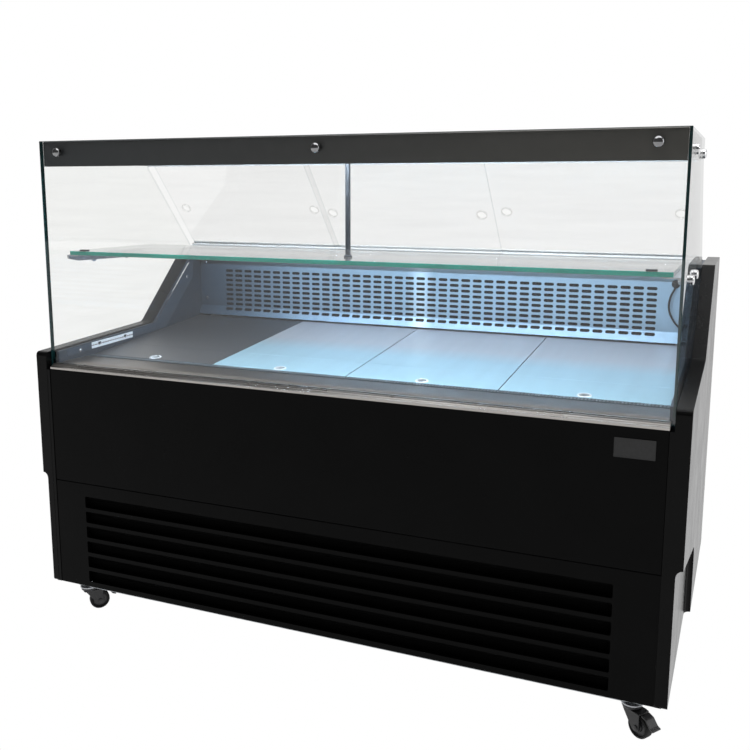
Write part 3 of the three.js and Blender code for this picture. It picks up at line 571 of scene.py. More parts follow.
badge_grey = worn("badge_grey", (0.024,) * 3, (0.034,) * 3, (0.4, 0.55), specular=0.3, cloud=120.0,
                  grain=1800, depth=3e-5)
rubber = worn("rubber", (0.006,) * 3, (0.014,) * 3, (0.6, 0.8), specular=0.3, cloud=120.0, grain=900,
              depth=8e-5)
pedal_plastic = worn("pedal_plastic", (0.028, 0.028, 0.030), (0.050, 0.050, 0.052), (0.35, 0.5), cloud=120.0,
                     grain=1400, depth=3e-5)
white_plastic = worn("white_plastic", (0.80, 0.82, 0.84), (0.90, 0.91, 0.92), (0.3, 0.45), cloud=60.0,
                     grain=1200, depth=2e-5)
copper = worn("copper", (0.52, 0.22, 0.11), (0.72, 0.34, 0.18), (0.25, 0.4), metallic=1.0, cloud=30.0,
              grain=900, depth=2e-5)
clear = pane("clear_glass", (0.982, 0.984, 0.980))
shelf_clear = pane("shelf_glass_face", (0.985, 0.992, 0.990), 0.06, 1.0)
acrylic = pane("acrylic", (0.985, 0.985, 0.985), 0.035)
acrylic_edge = pane("acrylic_edge", (0.92, 0.93, 0.93), 0.02, 0.2)
pull_ring = pane("pull_ring", (0.965, 0.962, 0.960), 0.02, 0.3)
side_edge = pane("side_glass_edge", (0.88, 0.89, 0.89), 0.01, 0.1)
upright_edge = worn("upright_glass_edge", (0.003, 0.024, 0.026), (0.006, 0.048, 0.048), (0.55, 0.7),
                    specular=0.08, cloud=12.0, grain=(300, 300, 60), depth=1e-5)
shelf_edge = worn("shelf_glass_edge", (0.004, 0.27, 0.20), (0.010, 0.40, 0.30), (0.10, 0.20), specular=0.4,
                  cloud=10.0, grain=(60, 300, 300), depth=1e-5)
track_grey = worn("track_grey", (0.56, 0.55, 0.53), (0.66, 0.65, 0.63), (0.4, 0.5), metallic=0.2, cloud=6.0,
                  grain=400, depth=2e-6)
grille_steel = worn("grille_steel", (0.13, 0.17, 0.20), (0.18, 0.225, 0.26), (0.3, 0.4), metallic=0.6,
                    cloud=6.0, grain=400, depth=2e-6)
lamp_glow = glowing("lamp_glow", (0.72, 0.86, 1.0), 6.0)
power_glow = glowing("power_glow", (0.05, 0.6, 0.12), 0.6)
display_glass = worn("display_glass", (0.004, 0.004, 0.005), (0.008, 0.006, 0.007), (0.05, 0.1), cloud=90.0,
                     grain=900, depth=2e-6, Coat_Weight=0.6)
scale_strip = strip_scale("scale_strip")


# ---------------------------------------------------------------- small fittings
def screw(axis, centre, base, height, radius, slot=0):
    """A pan head with a round socket, on base along the axis, downwards where height is negative."""
    return turned(axis, [(0.0, base), (radius, base), (radius, base + 0.45 * height),
                         (0.8 * radius, base + 0.85 * height), (0.45 * radius, base + height),
                         (0.32 * radius, base + 0.93 * height), (0.26 * radius, base + 0.45 * height),
                         (0.0, base + 0.4 * height)], centre, 20, slot)


def glass_bolt(side, centre, inner, outer, radius, slot=0):
    """A domed polished bolt through a side glass: its washer, its rim and its crown."""
    seat = side * inner
    head = side * (outer - inner)
    return turned("x", [(0.0, seat), (radius * 1.1, seat), (radius * 1.1, seat + 0.12 * head),
                        (radius, seat + 0.16 * head), (radius, seat + 0.62 * head),
                        (0.86 * radius, seat + 0.86 * head), (0.5 * radius, seat + 0.98 * head),
                        (0.0, seat + head)], centre, 28, slot)


# ---------------------------------------------------------------- body shell
dress("side_panel_left", black_panel, 0.0045, 4)
dress("side_panel_right", black_panel, 0.0045, 4)
dress("front_panel", black_sheet, 0.0012)
dress("glass_channel", aluminium, 0.0004)

KICK_LO, KICK_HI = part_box("kick_panel")
LOUVRES = 6
LOUVRE_PITCH = 0.0394
LOUVRE_HEIGHT = 0.0294
LOUVRE_TOP = 0.3304
LOUVRE_HALF = 0.647
SHEET = 0.0015


def kick_panel():
    bm = bmesh.new()

    def face(x, z):
        return (x, KICK_LO.y, z)

    bottom = LOUVRE_TOP + (LOUVRE_PITCH - LOUVRE_HEIGHT) / 2 - LOUVRES * LOUVRE_PITCH
    for i in range(LOUVRES):
        low = bottom + i * LOUVRE_PITCH
        slot_low = low + (LOUVRE_PITCH - LOUVRE_HEIGHT) / 2
        window(bm, face, (KICK_LO.x, KICK_HI.x, low, low + LOUVRE_PITCH),
               (-LOUVRE_HALF, LOUVRE_HALF, slot_low, slot_low + LOUVRE_HEIGHT), 0.0035)
    top = bottom + LOUVRES * LOUVRE_PITCH
    plain(bm, face, KICK_LO.x, KICK_HI.x, top, KICK_HI.z)
    plain(bm, face, KICK_LO.x, KICK_HI.x, KICK_LO.z, bottom)
    back = KICK_HI.y
    for z in (KICK_LO.z, KICK_HI.z):
        plain(bm, lambda x, y, z=z: (x, y, z), KICK_LO.x, KICK_HI.x, KICK_LO.y, back)
    for x in (KICK_LO.x, KICK_HI.x):
        plain(bm, lambda y, z, x=x: (x, y, z), KICK_LO.y, back, KICK_LO.z, KICK_HI.z)
    parts = [thickened(bm, SHEET, (0, 1, 0), crease=0.0012)]
    # A near-black sheet behind the louvres, so that the slots show painted shade.
    shade_sheet_front = back - 0.005
    parts.append(slab((-LOUVRE_HALF - 0.004, LOUVRE_HALF + 0.004), (shade_sheet_front, back - 0.0005),
                      (KICK_LO.z + 0.004, top), 0.0005, 1))
    for i in range(LOUVRES):
        z = LOUVRE_TOP - i * LOUVRE_PITCH
        line = [(KICK_LO.y + SHEET, z + 0.0012), (KICK_LO.y + 0.004, z - 0.001),
                (KICK_LO.y + 0.009, z - 0.006), (shade_sheet_front - 0.0005, z - 0.013)]
        parts.append(extruded("x", bent(arced(line, 0.003), 0.0012),
                              (-LOUVRE_HALF - 0.003, LOUVRE_HALF + 0.003)))
    for side in (-1, 1):
        edge = side * (LOUVRE_HALF + 0.0035)
        parts.append(slab((edge - 0.001, edge + 0.001), (KICK_LO.y + SHEET, shade_sheet_front), (bottom, top),
                          0.0003))
    build("kick_panel_sheet", parts, [black_sheet, slot_shade_black],
          instead_of=["kick_panel"])


kick_panel()

BADGE_LO, BADGE_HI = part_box("badge_plate")
BADGE_RIM = 0.002
badge_face = (BADGE_LO.x, BADGE_HI.x, BADGE_LO.z, BADGE_HI.z)
rim = bmesh.new()
window(rim, lambda x, z: (x, BADGE_LO.y, z), badge_face,
       (BADGE_LO.x + BADGE_RIM, BADGE_HI.x - BADGE_RIM, BADGE_LO.z + BADGE_RIM, BADGE_HI.z - BADGE_RIM),
       0.001)
build("badge_blank", [
    slab((BADGE_LO.x, BADGE_HI.x), (BADGE_LO.y + 0.0003, BADGE_HI.y), (BADGE_LO.z, BADGE_HI.z), 0.0004),
    thickened(rim, 0.0005, (0, 1, 0)),
], [badge_grey], instead_of=["badge_plate"])

# ---------------------------------------------------------------- display well
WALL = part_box("side_liner_right")[0].x
DECK_FRONT_Y, DECK_FRONT_Z = at(0.160), 0.6615
DECK_SLOPE = 0.0868
DECK_ON_SLOPE = Matrix.Translation((0, DECK_FRONT_Y, DECK_FRONT_Z)) @ Matrix.Rotation(math.atan(DECK_SLOPE),
                                                                                      4, "X")


def deck_z(y):
    return DECK_FRONT_Z + (y - DECK_FRONT_Y) * DECK_SLOPE


def front_sill():
    lo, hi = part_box("front_sill")
    top = hi.z - SHEET / 2
    rear = hi.y - SHEET / 2
    line = [(lo.y + SHEET / 2, lo.z + 0.003)]
    for k in range(13):
        a = math.pi - math.pi / 2 * k / 12
        line.append((lo.y + 0.030 + 0.029 * math.cos(a), top - 0.0085 + 0.0085 * math.sin(a)))
    crown = [(lo.y + 0.045, top), (rear - 0.012, top - 0.0012)]
    line += crown + arced([crown[-1], (rear, top - 0.0030), (rear, lo.z)], 0.003)[1:]
    build("front_sill_profile", [extruded("x", bent(line, SHEET), (lo.x, hi.x))], [sill_steel],
          instead_of=["front_sill"])


def return_grille():
    lo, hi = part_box("air_return_grille")
    pitch, slot_width, slot_length = 0.0075, 0.0042, 0.0085
    count = int((hi.x - lo.x) / pitch)
    half = count * pitch / 2
    y0, y1 = at(0.1448), at(0.1590)
    middle = (y0 + y1) / 2

    def face(x, y):
        return (x, y, deck_z(y) - 0.0002)

    bm = bmesh.new()
    for i in range(count):
        x = -half + i * pitch
        cell = (x, x + pitch, y0, y1)
        hole = (x + (pitch - slot_width) / 2, x + (pitch + slot_width) / 2,
                middle - slot_length / 2, middle + slot_length / 2)
        window(bm, face, cell, hole, slot_width / 2 - 1e-4, 3)
    for a, b in ((lo.x, -half), (half, hi.x)):
        plain(bm, face, a, b, y0, y1)
    for y in (y0, y1):
        plain(bm, lambda x, z, y=y: (x, y, z), lo.x, hi.x, lo.z, face(0, y)[2])
    build("return_grille_strip", [thickened(bm, 0.0008, (0, 0, -1))], [grille_steel],
          instead_of=["air_return_grille"])


FINGER_HOLE_RADIUS = 0.0125
FINGER_HOLE_FROM_FRONT = 0.017
CREASE_FROM_FRONT = 0.1225
SEAM = 0.0008


def deck_plate(number, look):
    node = f"deck_plate_{number}"
    lo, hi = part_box(node)
    centre = (lo.x + hi.x) / 2
    left, right = lo.x + SEAM, hi.x - SEAM
    length = (hi.y - DECK_FRONT_Y) / math.cos(math.atan(DECK_SLOPE))
    thick, start, lip = 0.0012, 0.0008, 0.010
    bm = bmesh.new()
    window(bm, lambda x, s: (x, s, 0.0), (left, right, start + 0.003, CREASE_FROM_FRONT - 0.0008),
           (centre - FINGER_HOLE_RADIUS, centre + FINGER_HOLE_RADIUS,
            FINGER_HOLE_FROM_FRONT - FINGER_HOLE_RADIUS, FINGER_HOLE_FROM_FRONT + FINGER_HOLE_RADIUS),
           FINGER_HOLE_RADIUS, 8)
    parts = [thickened(bm, thick, (0, 0, -1))]
    front_bend = arced([(start + thick / 2, -lip), (start + thick / 2, -thick / 2),
                        (start + 0.003, -thick / 2)],
                       0.0012)
    rear_bend = arced([(CREASE_FROM_FRONT - 0.0008, -thick / 2), (CREASE_FROM_FRONT, -thick / 2 - 0.0007),
                       (CREASE_FROM_FRONT + 0.0008, -thick / 2), (length - thick, -thick / 2),
                       (length - thick, -lip)], 0.0002)
    for line in (front_bend, rear_bend):
        parts.append(extruded("x", bent(line, thick), (left, right)))
    rim_outer, rim_inner = FINGER_HOLE_RADIUS + 0.0032, FINGER_HOLE_RADIUS - 0.001
    grommet = turned("z", [(rim_inner, -0.006), (rim_inner + 0.0008, -0.006),
                           (FINGER_HOLE_RADIUS - 0.0003, -0.001), (FINGER_HOLE_RADIUS, 0.0),
                           (rim_outer, 0.0), (rim_outer - 0.0004, 0.0010), (FINGER_HOLE_RADIUS, 0.0017),
                           (rim_inner, 0.0009)],
                     (centre, FINGER_HOLE_FROM_FRONT), 36, 1)
    parts = [moved(p, DECK_ON_SLOPE) for p in [*parts, grommet]]
    build(f"deck_plate_sheet_{number}", parts, [look, white_plastic], body=node,
          instead_of=[node])


DUCT_LO, DUCT_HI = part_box("air_duct_panel")
DUCT_FACE_Y = at(0.669)
DUCT_BEND_Z = 0.7344
DUCT_FOOT_Z = 0.7085
DUCT_FOOT_REACH = 0.014
DUCT_PITCH_X, DUCT_PITCH_Z = 0.0330, 0.0147
DUCT_COLUMNS, DUCT_UPPER_ROWS = 39, 8
DUCT_SLOT = (0.0262, 0.0082)


def duct_panel():
    half = DUCT_COLUMNS * DUCT_PITCH_X / 2
    top = DUCT_HI.z

    def wall(x, z):
        return (x, DUCT_FACE_Y, z)

    def foot(x, z):
        lean = (DUCT_BEND_Z - z) / (DUCT_BEND_Z - DUCT_FOOT_Z)
        return (x, DUCT_FACE_Y - DUCT_FOOT_REACH * lean, z)

    bm = bmesh.new()
    rows = [(foot, DUCT_BEND_Z - DUCT_PITCH_Z), *[(wall, DUCT_BEND_Z + i * DUCT_PITCH_Z)
                                                  for i in range(DUCT_UPPER_ROWS)]]
    for face, low in rows:
        slot_low = low + (DUCT_PITCH_Z - DUCT_SLOT[1]) / 2
        for i in range(DUCT_COLUMNS):
            x = -half + i * DUCT_PITCH_X
            slot_x = x + (DUCT_PITCH_X - DUCT_SLOT[0]) / 2
            window(bm, face, (x, x + DUCT_PITCH_X, low, low + DUCT_PITCH_Z),
                   (slot_x, slot_x + DUCT_SLOT[0], slot_low, slot_low + DUCT_SLOT[1]),
                   DUCT_SLOT[1] / 2 - 1e-4)
        for a, b in ((DUCT_LO.x, -half), (half, DUCT_HI.x)):
            plain(bm, face, a, b, low, low + DUCT_PITCH_Z)
    stops = [DUCT_LO.x, *[-half + i * DUCT_PITCH_X for i in range(DUCT_COLUMNS + 1)], DUCT_HI.x]
    upper = DUCT_BEND_Z + DUCT_UPPER_ROWS * DUCT_PITCH_Z
    for a, b in zip(stops, stops[1:]):
        plain(bm, wall, a, b, upper, top)
        plain(bm, foot, a, b, DUCT_FOOT_Z, DUCT_BEND_Z - DUCT_PITCH_Z)
        plain(bm, lambda x, y: (x, y, top), a, b, DUCT_FACE_Y, DUCT_HI.y)
    parts = [thickened(bm, 0.0012, (0, 1, 0), crease=0.0012)]
    for x, z in ((-0.710, 0.870), (-0.710, 0.757), (0.712, 0.872), (0.712, 0.752)):
        parts.append(screw("y", (x, z), DUCT_FACE_Y, -0.0022, 0.0045, 1))
    build("duct_panel_sheet", parts, [duct_painted_light, polished], instead_of=["air_duct_panel"])
    # A near-black sheet behind the duct's slots: painted shade.
    shade_backing = [(DUCT_FACE_Y + 0.004, top - 0.003), (DUCT_FACE_Y + 0.004, DUCT_BEND_Z),
                 (DUCT_FACE_Y + 0.004 - DUCT_FOOT_REACH, DUCT_FOOT_Z)]
    build("duct_honeycomb", [extruded("x", bent(shade_backing, 0.003), (DUCT_LO.x + 0.003, DUCT_HI.x - 0.003))],
          [slot_shade_black])
    ring = turned("y", [(0.0, DUCT_FACE_Y - 0.001), (0.0105, DUCT_FACE_Y - 0.001),
                        (0.0100, DUCT_FACE_Y - 0.0035), (0.0060, DUCT_FACE_Y - 0.0045),
                        (0.0, DUCT_FACE_Y - 0.0045)], (0.684, 0.858), 28)
    build("lamp_lead_grommet", [ring], [rubber])


def lamp_lead():
    route = [(0.684, at(0.6655), 0.858), (0.682, at(0.662), 0.846), (0.674, at(0.660), 0.828),
             (0.670, at(0.660), 0.806), (0.673, at(0.660), 0.786), (0.682, at(0.660), 0.768),
             (0.696, at(0.660), 0.751), (0.708, at(0.662), 0.742)]
    build("lamp_lead_cable", [tube(smooth_path(route), 0.0025, 12)], [rubber],
          instead_of=["lamp_lead"])


def wall_trims():
    """The raised strip that follows the shoulder and the ear inside each wall, with its screws."""
    outline = [(at(0.060), 0.6715), (at(0.479), 0.6905), (at(0.625), 0.826), (at(0.627), 0.872),
               (at(0.606), 0.872), (at(0.424), 0.7055), (at(0.060), 0.6872)]
    for side, name in ((-1, "left"), (1, "right")):
        face = side * WALL
        parts = [extruded("x", outline, (face - side * 0.0013, face + side * 0.0002), 0.0005)]
        for y, z in ((0.109, 0.6805), (0.594, 0.828)):
            parts.append(screw("x", (at(y), z), face - side * 0.0013, -side * 0.0024, 0.0052, 1))
        parts.append(tube([(face - side * 0.0013, at(0.428), 0.7090),
                           (face - side * 0.0013, at(0.604), 0.8700)],
                          0.0011, 8, 1))
        build(f"wall_trim_{name}", parts, [trim_painted_shade, polished])


def thermometer_strip():
    height = 0.0165
    outline = [(y, z + s * height / 2) for y, z, s in
               ((*STRIP_FRONT, -1), (*STRIP_REAR, -1), (*STRIP_REAR, 1), (*STRIP_FRONT, 1))]
    face = -WALL + 0.0012
    parts = [extruded("x", rounded(outline, 0.0008, 2), (face, face + 0.0010), 0.0003)]
    for share in (0.18, 0.80):
        y = STRIP_FRONT[0] + share * (STRIP_REAR[0] - STRIP_FRONT[0])
        z = STRIP_FRONT[1] + share * (STRIP_REAR[1] - STRIP_FRONT[1])
        pointer = [(y - 0.006, z + 0.005), (y + 0.006, z + 0.005), (y, z - 0.004)]
        parts.append(extruded("x", pointer, (face + 0.0008, face + 0.0016), 0.0002, 1))
    build("thermometer_strip", parts, [scale_strip, dark_plastic])


front_sill()
return_grille()
# The first plate takes the darker copy of the deck steel: painted shade.
for plate in (1, 2, 3, 4):
    deck_plate(plate, plate_painted_shade if plate == 1 else deck_painted_light)
duct_panel()
lamp_lead()
wall_trims()
thermometer_strip()
dress("side_liner_left", liner_painted_shade, 0.0006)
dress("side_liner_right", liner_painted_shade, 0.0006)


# ---------------------------------------------------------------- glass superstructure
BOLT_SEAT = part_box("side_glass_right")[1].x + 0.0003
BOLT_CROWN = BOLT_SEAT + 0.0087
BROAD_FACING = 0.99
FRONT_FACING = 0.7


def with_edges(part, normal_axis, front=1):
    """Splits a pane's faces: material 0 on its broad faces, 1 on its edges and front on its front edge."""
    verts, faces, _ = part
    groups = {0: [], 1: [], front: []}
    for face in faces:
        a, b, c = (verts[i] for i in face[:3])
        normal = (b - a).cross(c - b).normalized()
        edge = front if normal.y < -FRONT_FACING else 1
        groups[0 if abs(normal[normal_axis]) > BROAD_FACING else edge].append(face)
    return [(verts, chosen, slot) for slot, chosen in groups.items()]


def welded(piece):
    """Joins the halves of a pane back into one closed mesh."""
    bm = bmesh.new()
    bm.from_mesh(piece.data)
    bmesh.ops.remove_doubles(bm, verts=bm.verts, dist=1e-6)
    bm.to_mesh(piece.data)
    bm.free()
    return piece


def front_glass():
    lo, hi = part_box("front_glass")
    part = slab((lo.x, hi.x), (lo.y, hi.y), (lo.z, hi.z), 0.0007)
    welded(build("front_glass_pane", with_edges(part, 1), [clear, upright_edge],
                 instead_of=["front_glass"]))


def side_glass(name):
    lo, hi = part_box(f"side_glass_{name}")
    outline = [(lo.y, 0.669), (at(0.430), 0.690), (at(0.639), 0.890), (at(0.628), 0.926), (at(0.434), 1.150),
               (at(0.434), hi.z), (lo.y, hi.z)]
    part = extruded("x", rounded(outline, [0, 0, 0, 0.012, 0.022, 0.003, 0], 6), (lo.x, hi.x), 0.0007)
    welded(build(f"side_glass_pane_{name}", with_edges(part, 0, 2), [clear, side_edge, upright_edge],
                 instead_of=[f"side_glass_{name}"]))


def shelf():
    lo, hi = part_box("shelf_glass")
    part = slab((lo.x, hi.x), (lo.y, hi.y), (lo.z, hi.z), 0.0008)
    welded(build("shelf_glass_pane", with_edges(part, 2, 2), [shelf_clear, side_edge, shelf_edge],
                 instead_of=["shelf_glass"]))
    under = lo.z - 0.0003
    for side, name in ((-1, "left"), (1, "right")):
        inner, outer = side * 0.7285, side * (WALL + 0.0025)
        web = [(lo.y + 0.004, under), (lo.y + 0.005, under - 0.010), (lo.y + 0.040, under - 0.017),
               (hi.y - 0.022, under - 0.022), (hi.y - 0.022, under)]
        parts = [
            extruded("x", rounded(web, [0, 0.004, 0.02, 0.006, 0], 4), (inner, outer), 0.0008),
            slab(sorted((side * 0.700, inner)), (lo.y + 0.004, hi.y - 0.022), (under - 0.003, under),
                 0.0008),
        ]
        for depth in (0.195, 0.329):
            parts.append(glass_bolt(side, (at(depth), 0.914), BOLT_SEAT, BOLT_CROWN, 0.010, 1))
            parts.append(turned("x", [(0.0, outer), (0.0045, outer), (0.0045, side * BOLT_SEAT),
                                      (0.0, side * BOLT_SEAT)],
                                (at(depth), 0.914), 16, 1))
        build(f"shelf_bracket_arm_{name}", parts, [zinc, polished],
              instead_of=[f"shelf_bracket_{name}"])
        clip_x = side * 0.680
        clip = rounded([(clip_x - 0.011, lo.y - 0.0012), (clip_x + 0.011, lo.y - 0.0012),
                        (clip_x + 0.011, lo.y + 0.014), (clip_x - 0.011, lo.y + 0.014)], 0.003, 3)
        build(f"shelf_clip_{name}", [extruded("z", clip, (hi.z + 0.0002, hi.z + 0.004), 0.0012)],
              [dark_plastic])
    post_lo, post_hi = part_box("shelf_post")
    centre = (0.0, (post_lo.y + post_hi.y) / 2)
    r = (post_hi.x - post_lo.x) / 2
    post = turned("z", [(0.0, post_lo.z), (r * 1.6, post_lo.z), (r * 1.6, post_lo.z + 0.003),
                        (r, post_lo.z + 0.006), (r, post_hi.z), (0.0, post_hi.z)], centre, 28)
    build("shelf_post_rod", [post], [dark_plastic], instead_of=["shelf_post"])


CANOPY_LO, CANOPY_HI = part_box("canopy")
CANOPY_HALF = 0.7377
CANOPY_SIDE_Z = 1.156
CANOPY_REAR = at(0.433)
TRACK_OFFSET = 0.0065
DOOR_ON_SLOPE = Matrix.Translation((0, at(0.640), 0.9192)) @ Matrix.Rotation(0.6994, 4, "X")
DOOR_LENGTH = 0.325


def door_track(low, high, open_up):
    """A double channel in the tilted plane of the doors."""
    half, wall, channel, floor = 0.0135, 0.0035, 0.007, 0.004
    lip = high if open_up else low
    base = low if open_up else high
    inside = base + floor if open_up else base - floor
    section = [(-half, lip), (-half, base), (half, base), (half, lip), (half - wall, lip),
               (half - wall, inside), (half - wall - channel + 0.0005, inside),
               (half - wall - channel + 0.0005, lip), (-half + wall + channel - 0.0005, lip),
               (-half + wall + channel - 0.0005, inside), (-half + wall, inside), (-half + wall, lip)]
    bar = extruded("x", section, (-CANOPY_HALF + 0.003, CANOPY_HALF - 0.003), 0.0003, 0, 1)
    return moved(bar, DOOR_ON_SLOPE)


def canopy():
    wall = 0.003
    y0 = CANOPY_LO.y
    section = arced([(y0 + wall / 2, CANOPY_LO.z), (y0 + wall / 2, CANOPY_HI.z - wall / 2),
                     (CANOPY_REAR - wall / 2, CANOPY_HI.z - wall / 2), (CANOPY_REAR - wall / 2, 1.182)],
                    0.003)
    parts = [extruded("x", bent(section, wall), (-CANOPY_HALF, CANOPY_HALF), 0.0004)]
    for side in (-1, 1):
        parts.append(slab(sorted((side * CANOPY_HALF, side * (CANOPY_HALF - wall))),
                          (y0 + wall, CANOPY_REAR - wall), (CANOPY_SIDE_Z, CANOPY_HI.z - wall), 0.0004))
        for y, z in ((0.127, 1.168), (0.363, 1.168)):
            parts.append(glass_bolt(side, (at(y), z), BOLT_SEAT, BOLT_CROWN, 0.010, 1))
    top_track = door_track(DOOR_LENGTH - 0.007, DOOR_LENGTH + 0.013, False)
    parts.append((top_track[0], top_track[1], 2))
    build("canopy_shell", parts, [anthracite, polished, track_grey],
          instead_of=["canopy"])


def lamp():
    lo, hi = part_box("led_light_bar")
    y0, y1, z0, z1 = lo.y, hi.y, lo.z, hi.z
    housing = [(y0, z0 + 0.008), (y0, z1), (y1, z1), (y1, z0 + 0.008), (y1 - 0.002, z0 + 0.006),
               (y1 - 0.002, z1 - 0.002), (y0 + 0.002, z1 - 0.002), (y0 + 0.002, z0 + 0.006)]
    cover = rounded([(y0 + 0.0022, z0 + 0.010), (y0 + 0.0022, z0), (y1 - 0.0022, z0),
                     (y1 - 0.0022, z0 + 0.010)],
                    [0, 0.007, 0.007, 0], 5)
    parts = [extruded("x", housing, (lo.x + 0.012, hi.x - 0.012), 0.0003, 0, 1),
             extruded("x", cover, (lo.x + 0.012, hi.x - 0.012), 0, 1)]
    for x0, x1 in ((lo.x, lo.x + 0.0118), (hi.x - 0.0118, hi.x)):
        parts.append(slab((x0, x1), (y0, y1), (z0, z1), 0.002, 2, 3))
    build("lamp_bar", parts, [aluminium, lamp_glow, white_plastic],
          instead_of=["led_light_bar"])


def glass_knob(number):
    node = f"glass_knob_{number}"
    lo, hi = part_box(node)
    centre = ((lo.x + hi.x) / 2, (lo.z + hi.z) / 2)
    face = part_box("front_glass")[0].y - 0.0003
    tip = lo.y
    r = (hi.x - lo.x) / 2
    profile = [(0.0, hi.y), (0.0045, hi.y), (0.0045, face), (0.95 * r, face), (0.95 * r, face - 0.0012),
               (0.72 * r, face - 0.0018), (0.72 * r, face - 0.0032), (0.96 * r, face - 0.0042),
               (r, face - 0.0052), (r, face - 0.0078), (0.93 * r, face - 0.0092), (0.80 * r, tip + 0.0022),
               (0.55 * r, tip + 0.0006), (0.0, tip)]
    build(f"glass_knob_turned_{number}", [turned("y", profile, centre, 36)], [knob_painted_shade],
          instead_of=[node])


PULL_RADIUS = 0.013
PULL_FROM_CENTRE = 0.211
PULL_UP = 0.148
DOOR_THICK = 0.005


def door(name, side):
    node = f"door_{name}"
    lo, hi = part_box(node)
    y = side * TRACK_OFFSET
    middle = (lo.x + hi.x) / 2
    bm = bmesh.new()
    z = PULL_UP
    for x0, x1, pull in ((lo.x, middle, middle - PULL_FROM_CENTRE),
                         (middle, hi.x, middle + PULL_FROM_CENTRE)):
        window(bm, lambda u, v: (u, y - DOOR_THICK / 2, v), (x0, x1, 0.0, DOOR_LENGTH),
               (pull - PULL_RADIUS, pull + PULL_RADIUS, z - PULL_RADIUS, z + PULL_RADIUS), PULL_RADIUS, 8)
    sheet = thickened(bm, DOOR_THICK, (0, 1, 0))
    parts = [moved(p, DOOR_ON_SLOPE) for p in with_edges(sheet, 1)]
    for x in (middle - PULL_FROM_CENTRE, middle + PULL_FROM_CENTRE):
        reach = DOOR_THICK / 2
        ring = [(PULL_RADIUS - 0.0012, y - reach - 0.0008), (PULL_RADIUS + 0.0016, y - reach - 0.0008),
                (PULL_RADIUS + 0.0016, y - reach), (PULL_RADIUS - 0.0002, y - reach),
                (PULL_RADIUS - 0.0002, y + reach), (PULL_RADIUS + 0.0016, y + reach),
                (PULL_RADIUS + 0.0016, y + reach + 0.0008), (PULL_RADIUS - 0.0012, y + reach + 0.0008)]
        parts.append(moved(turned("y", ring, (x, z), 32, 2), DOOR_ON_SLOPE))
    build(f"door_sheet_{name}", parts, [acrylic, acrylic_edge, pull_ring], body=node,
          instead_of=[node])


front_glass()
side_glass("left")
side_glass("right")
shelf()
canopy()
lamp()
for knob in (1, 2, 3):
    glass_knob(knob)
door("left", 1)
door("middle", -1)
door("right", 1)
build("door_track_sill", [door_track(-0.005, 0.010, True)], [track_grey],
      instead_of=["door_track_lower"])
dress("worktop", stainless, 0.001)


# ---------------------------------------------------------------- castors
CASTOR_X = 0.690
CASTOR_DEPTHS = {"front": 0.050, "rear": 0.872}
CASTOR_TURNS = {"left": 0.87, "right": -0.6}
CASTOR_HEIGHT = 0.070
WHEEL_RADIUS = 0.025
WHEEL_HALF = 0.010
TRAIL = 0.024


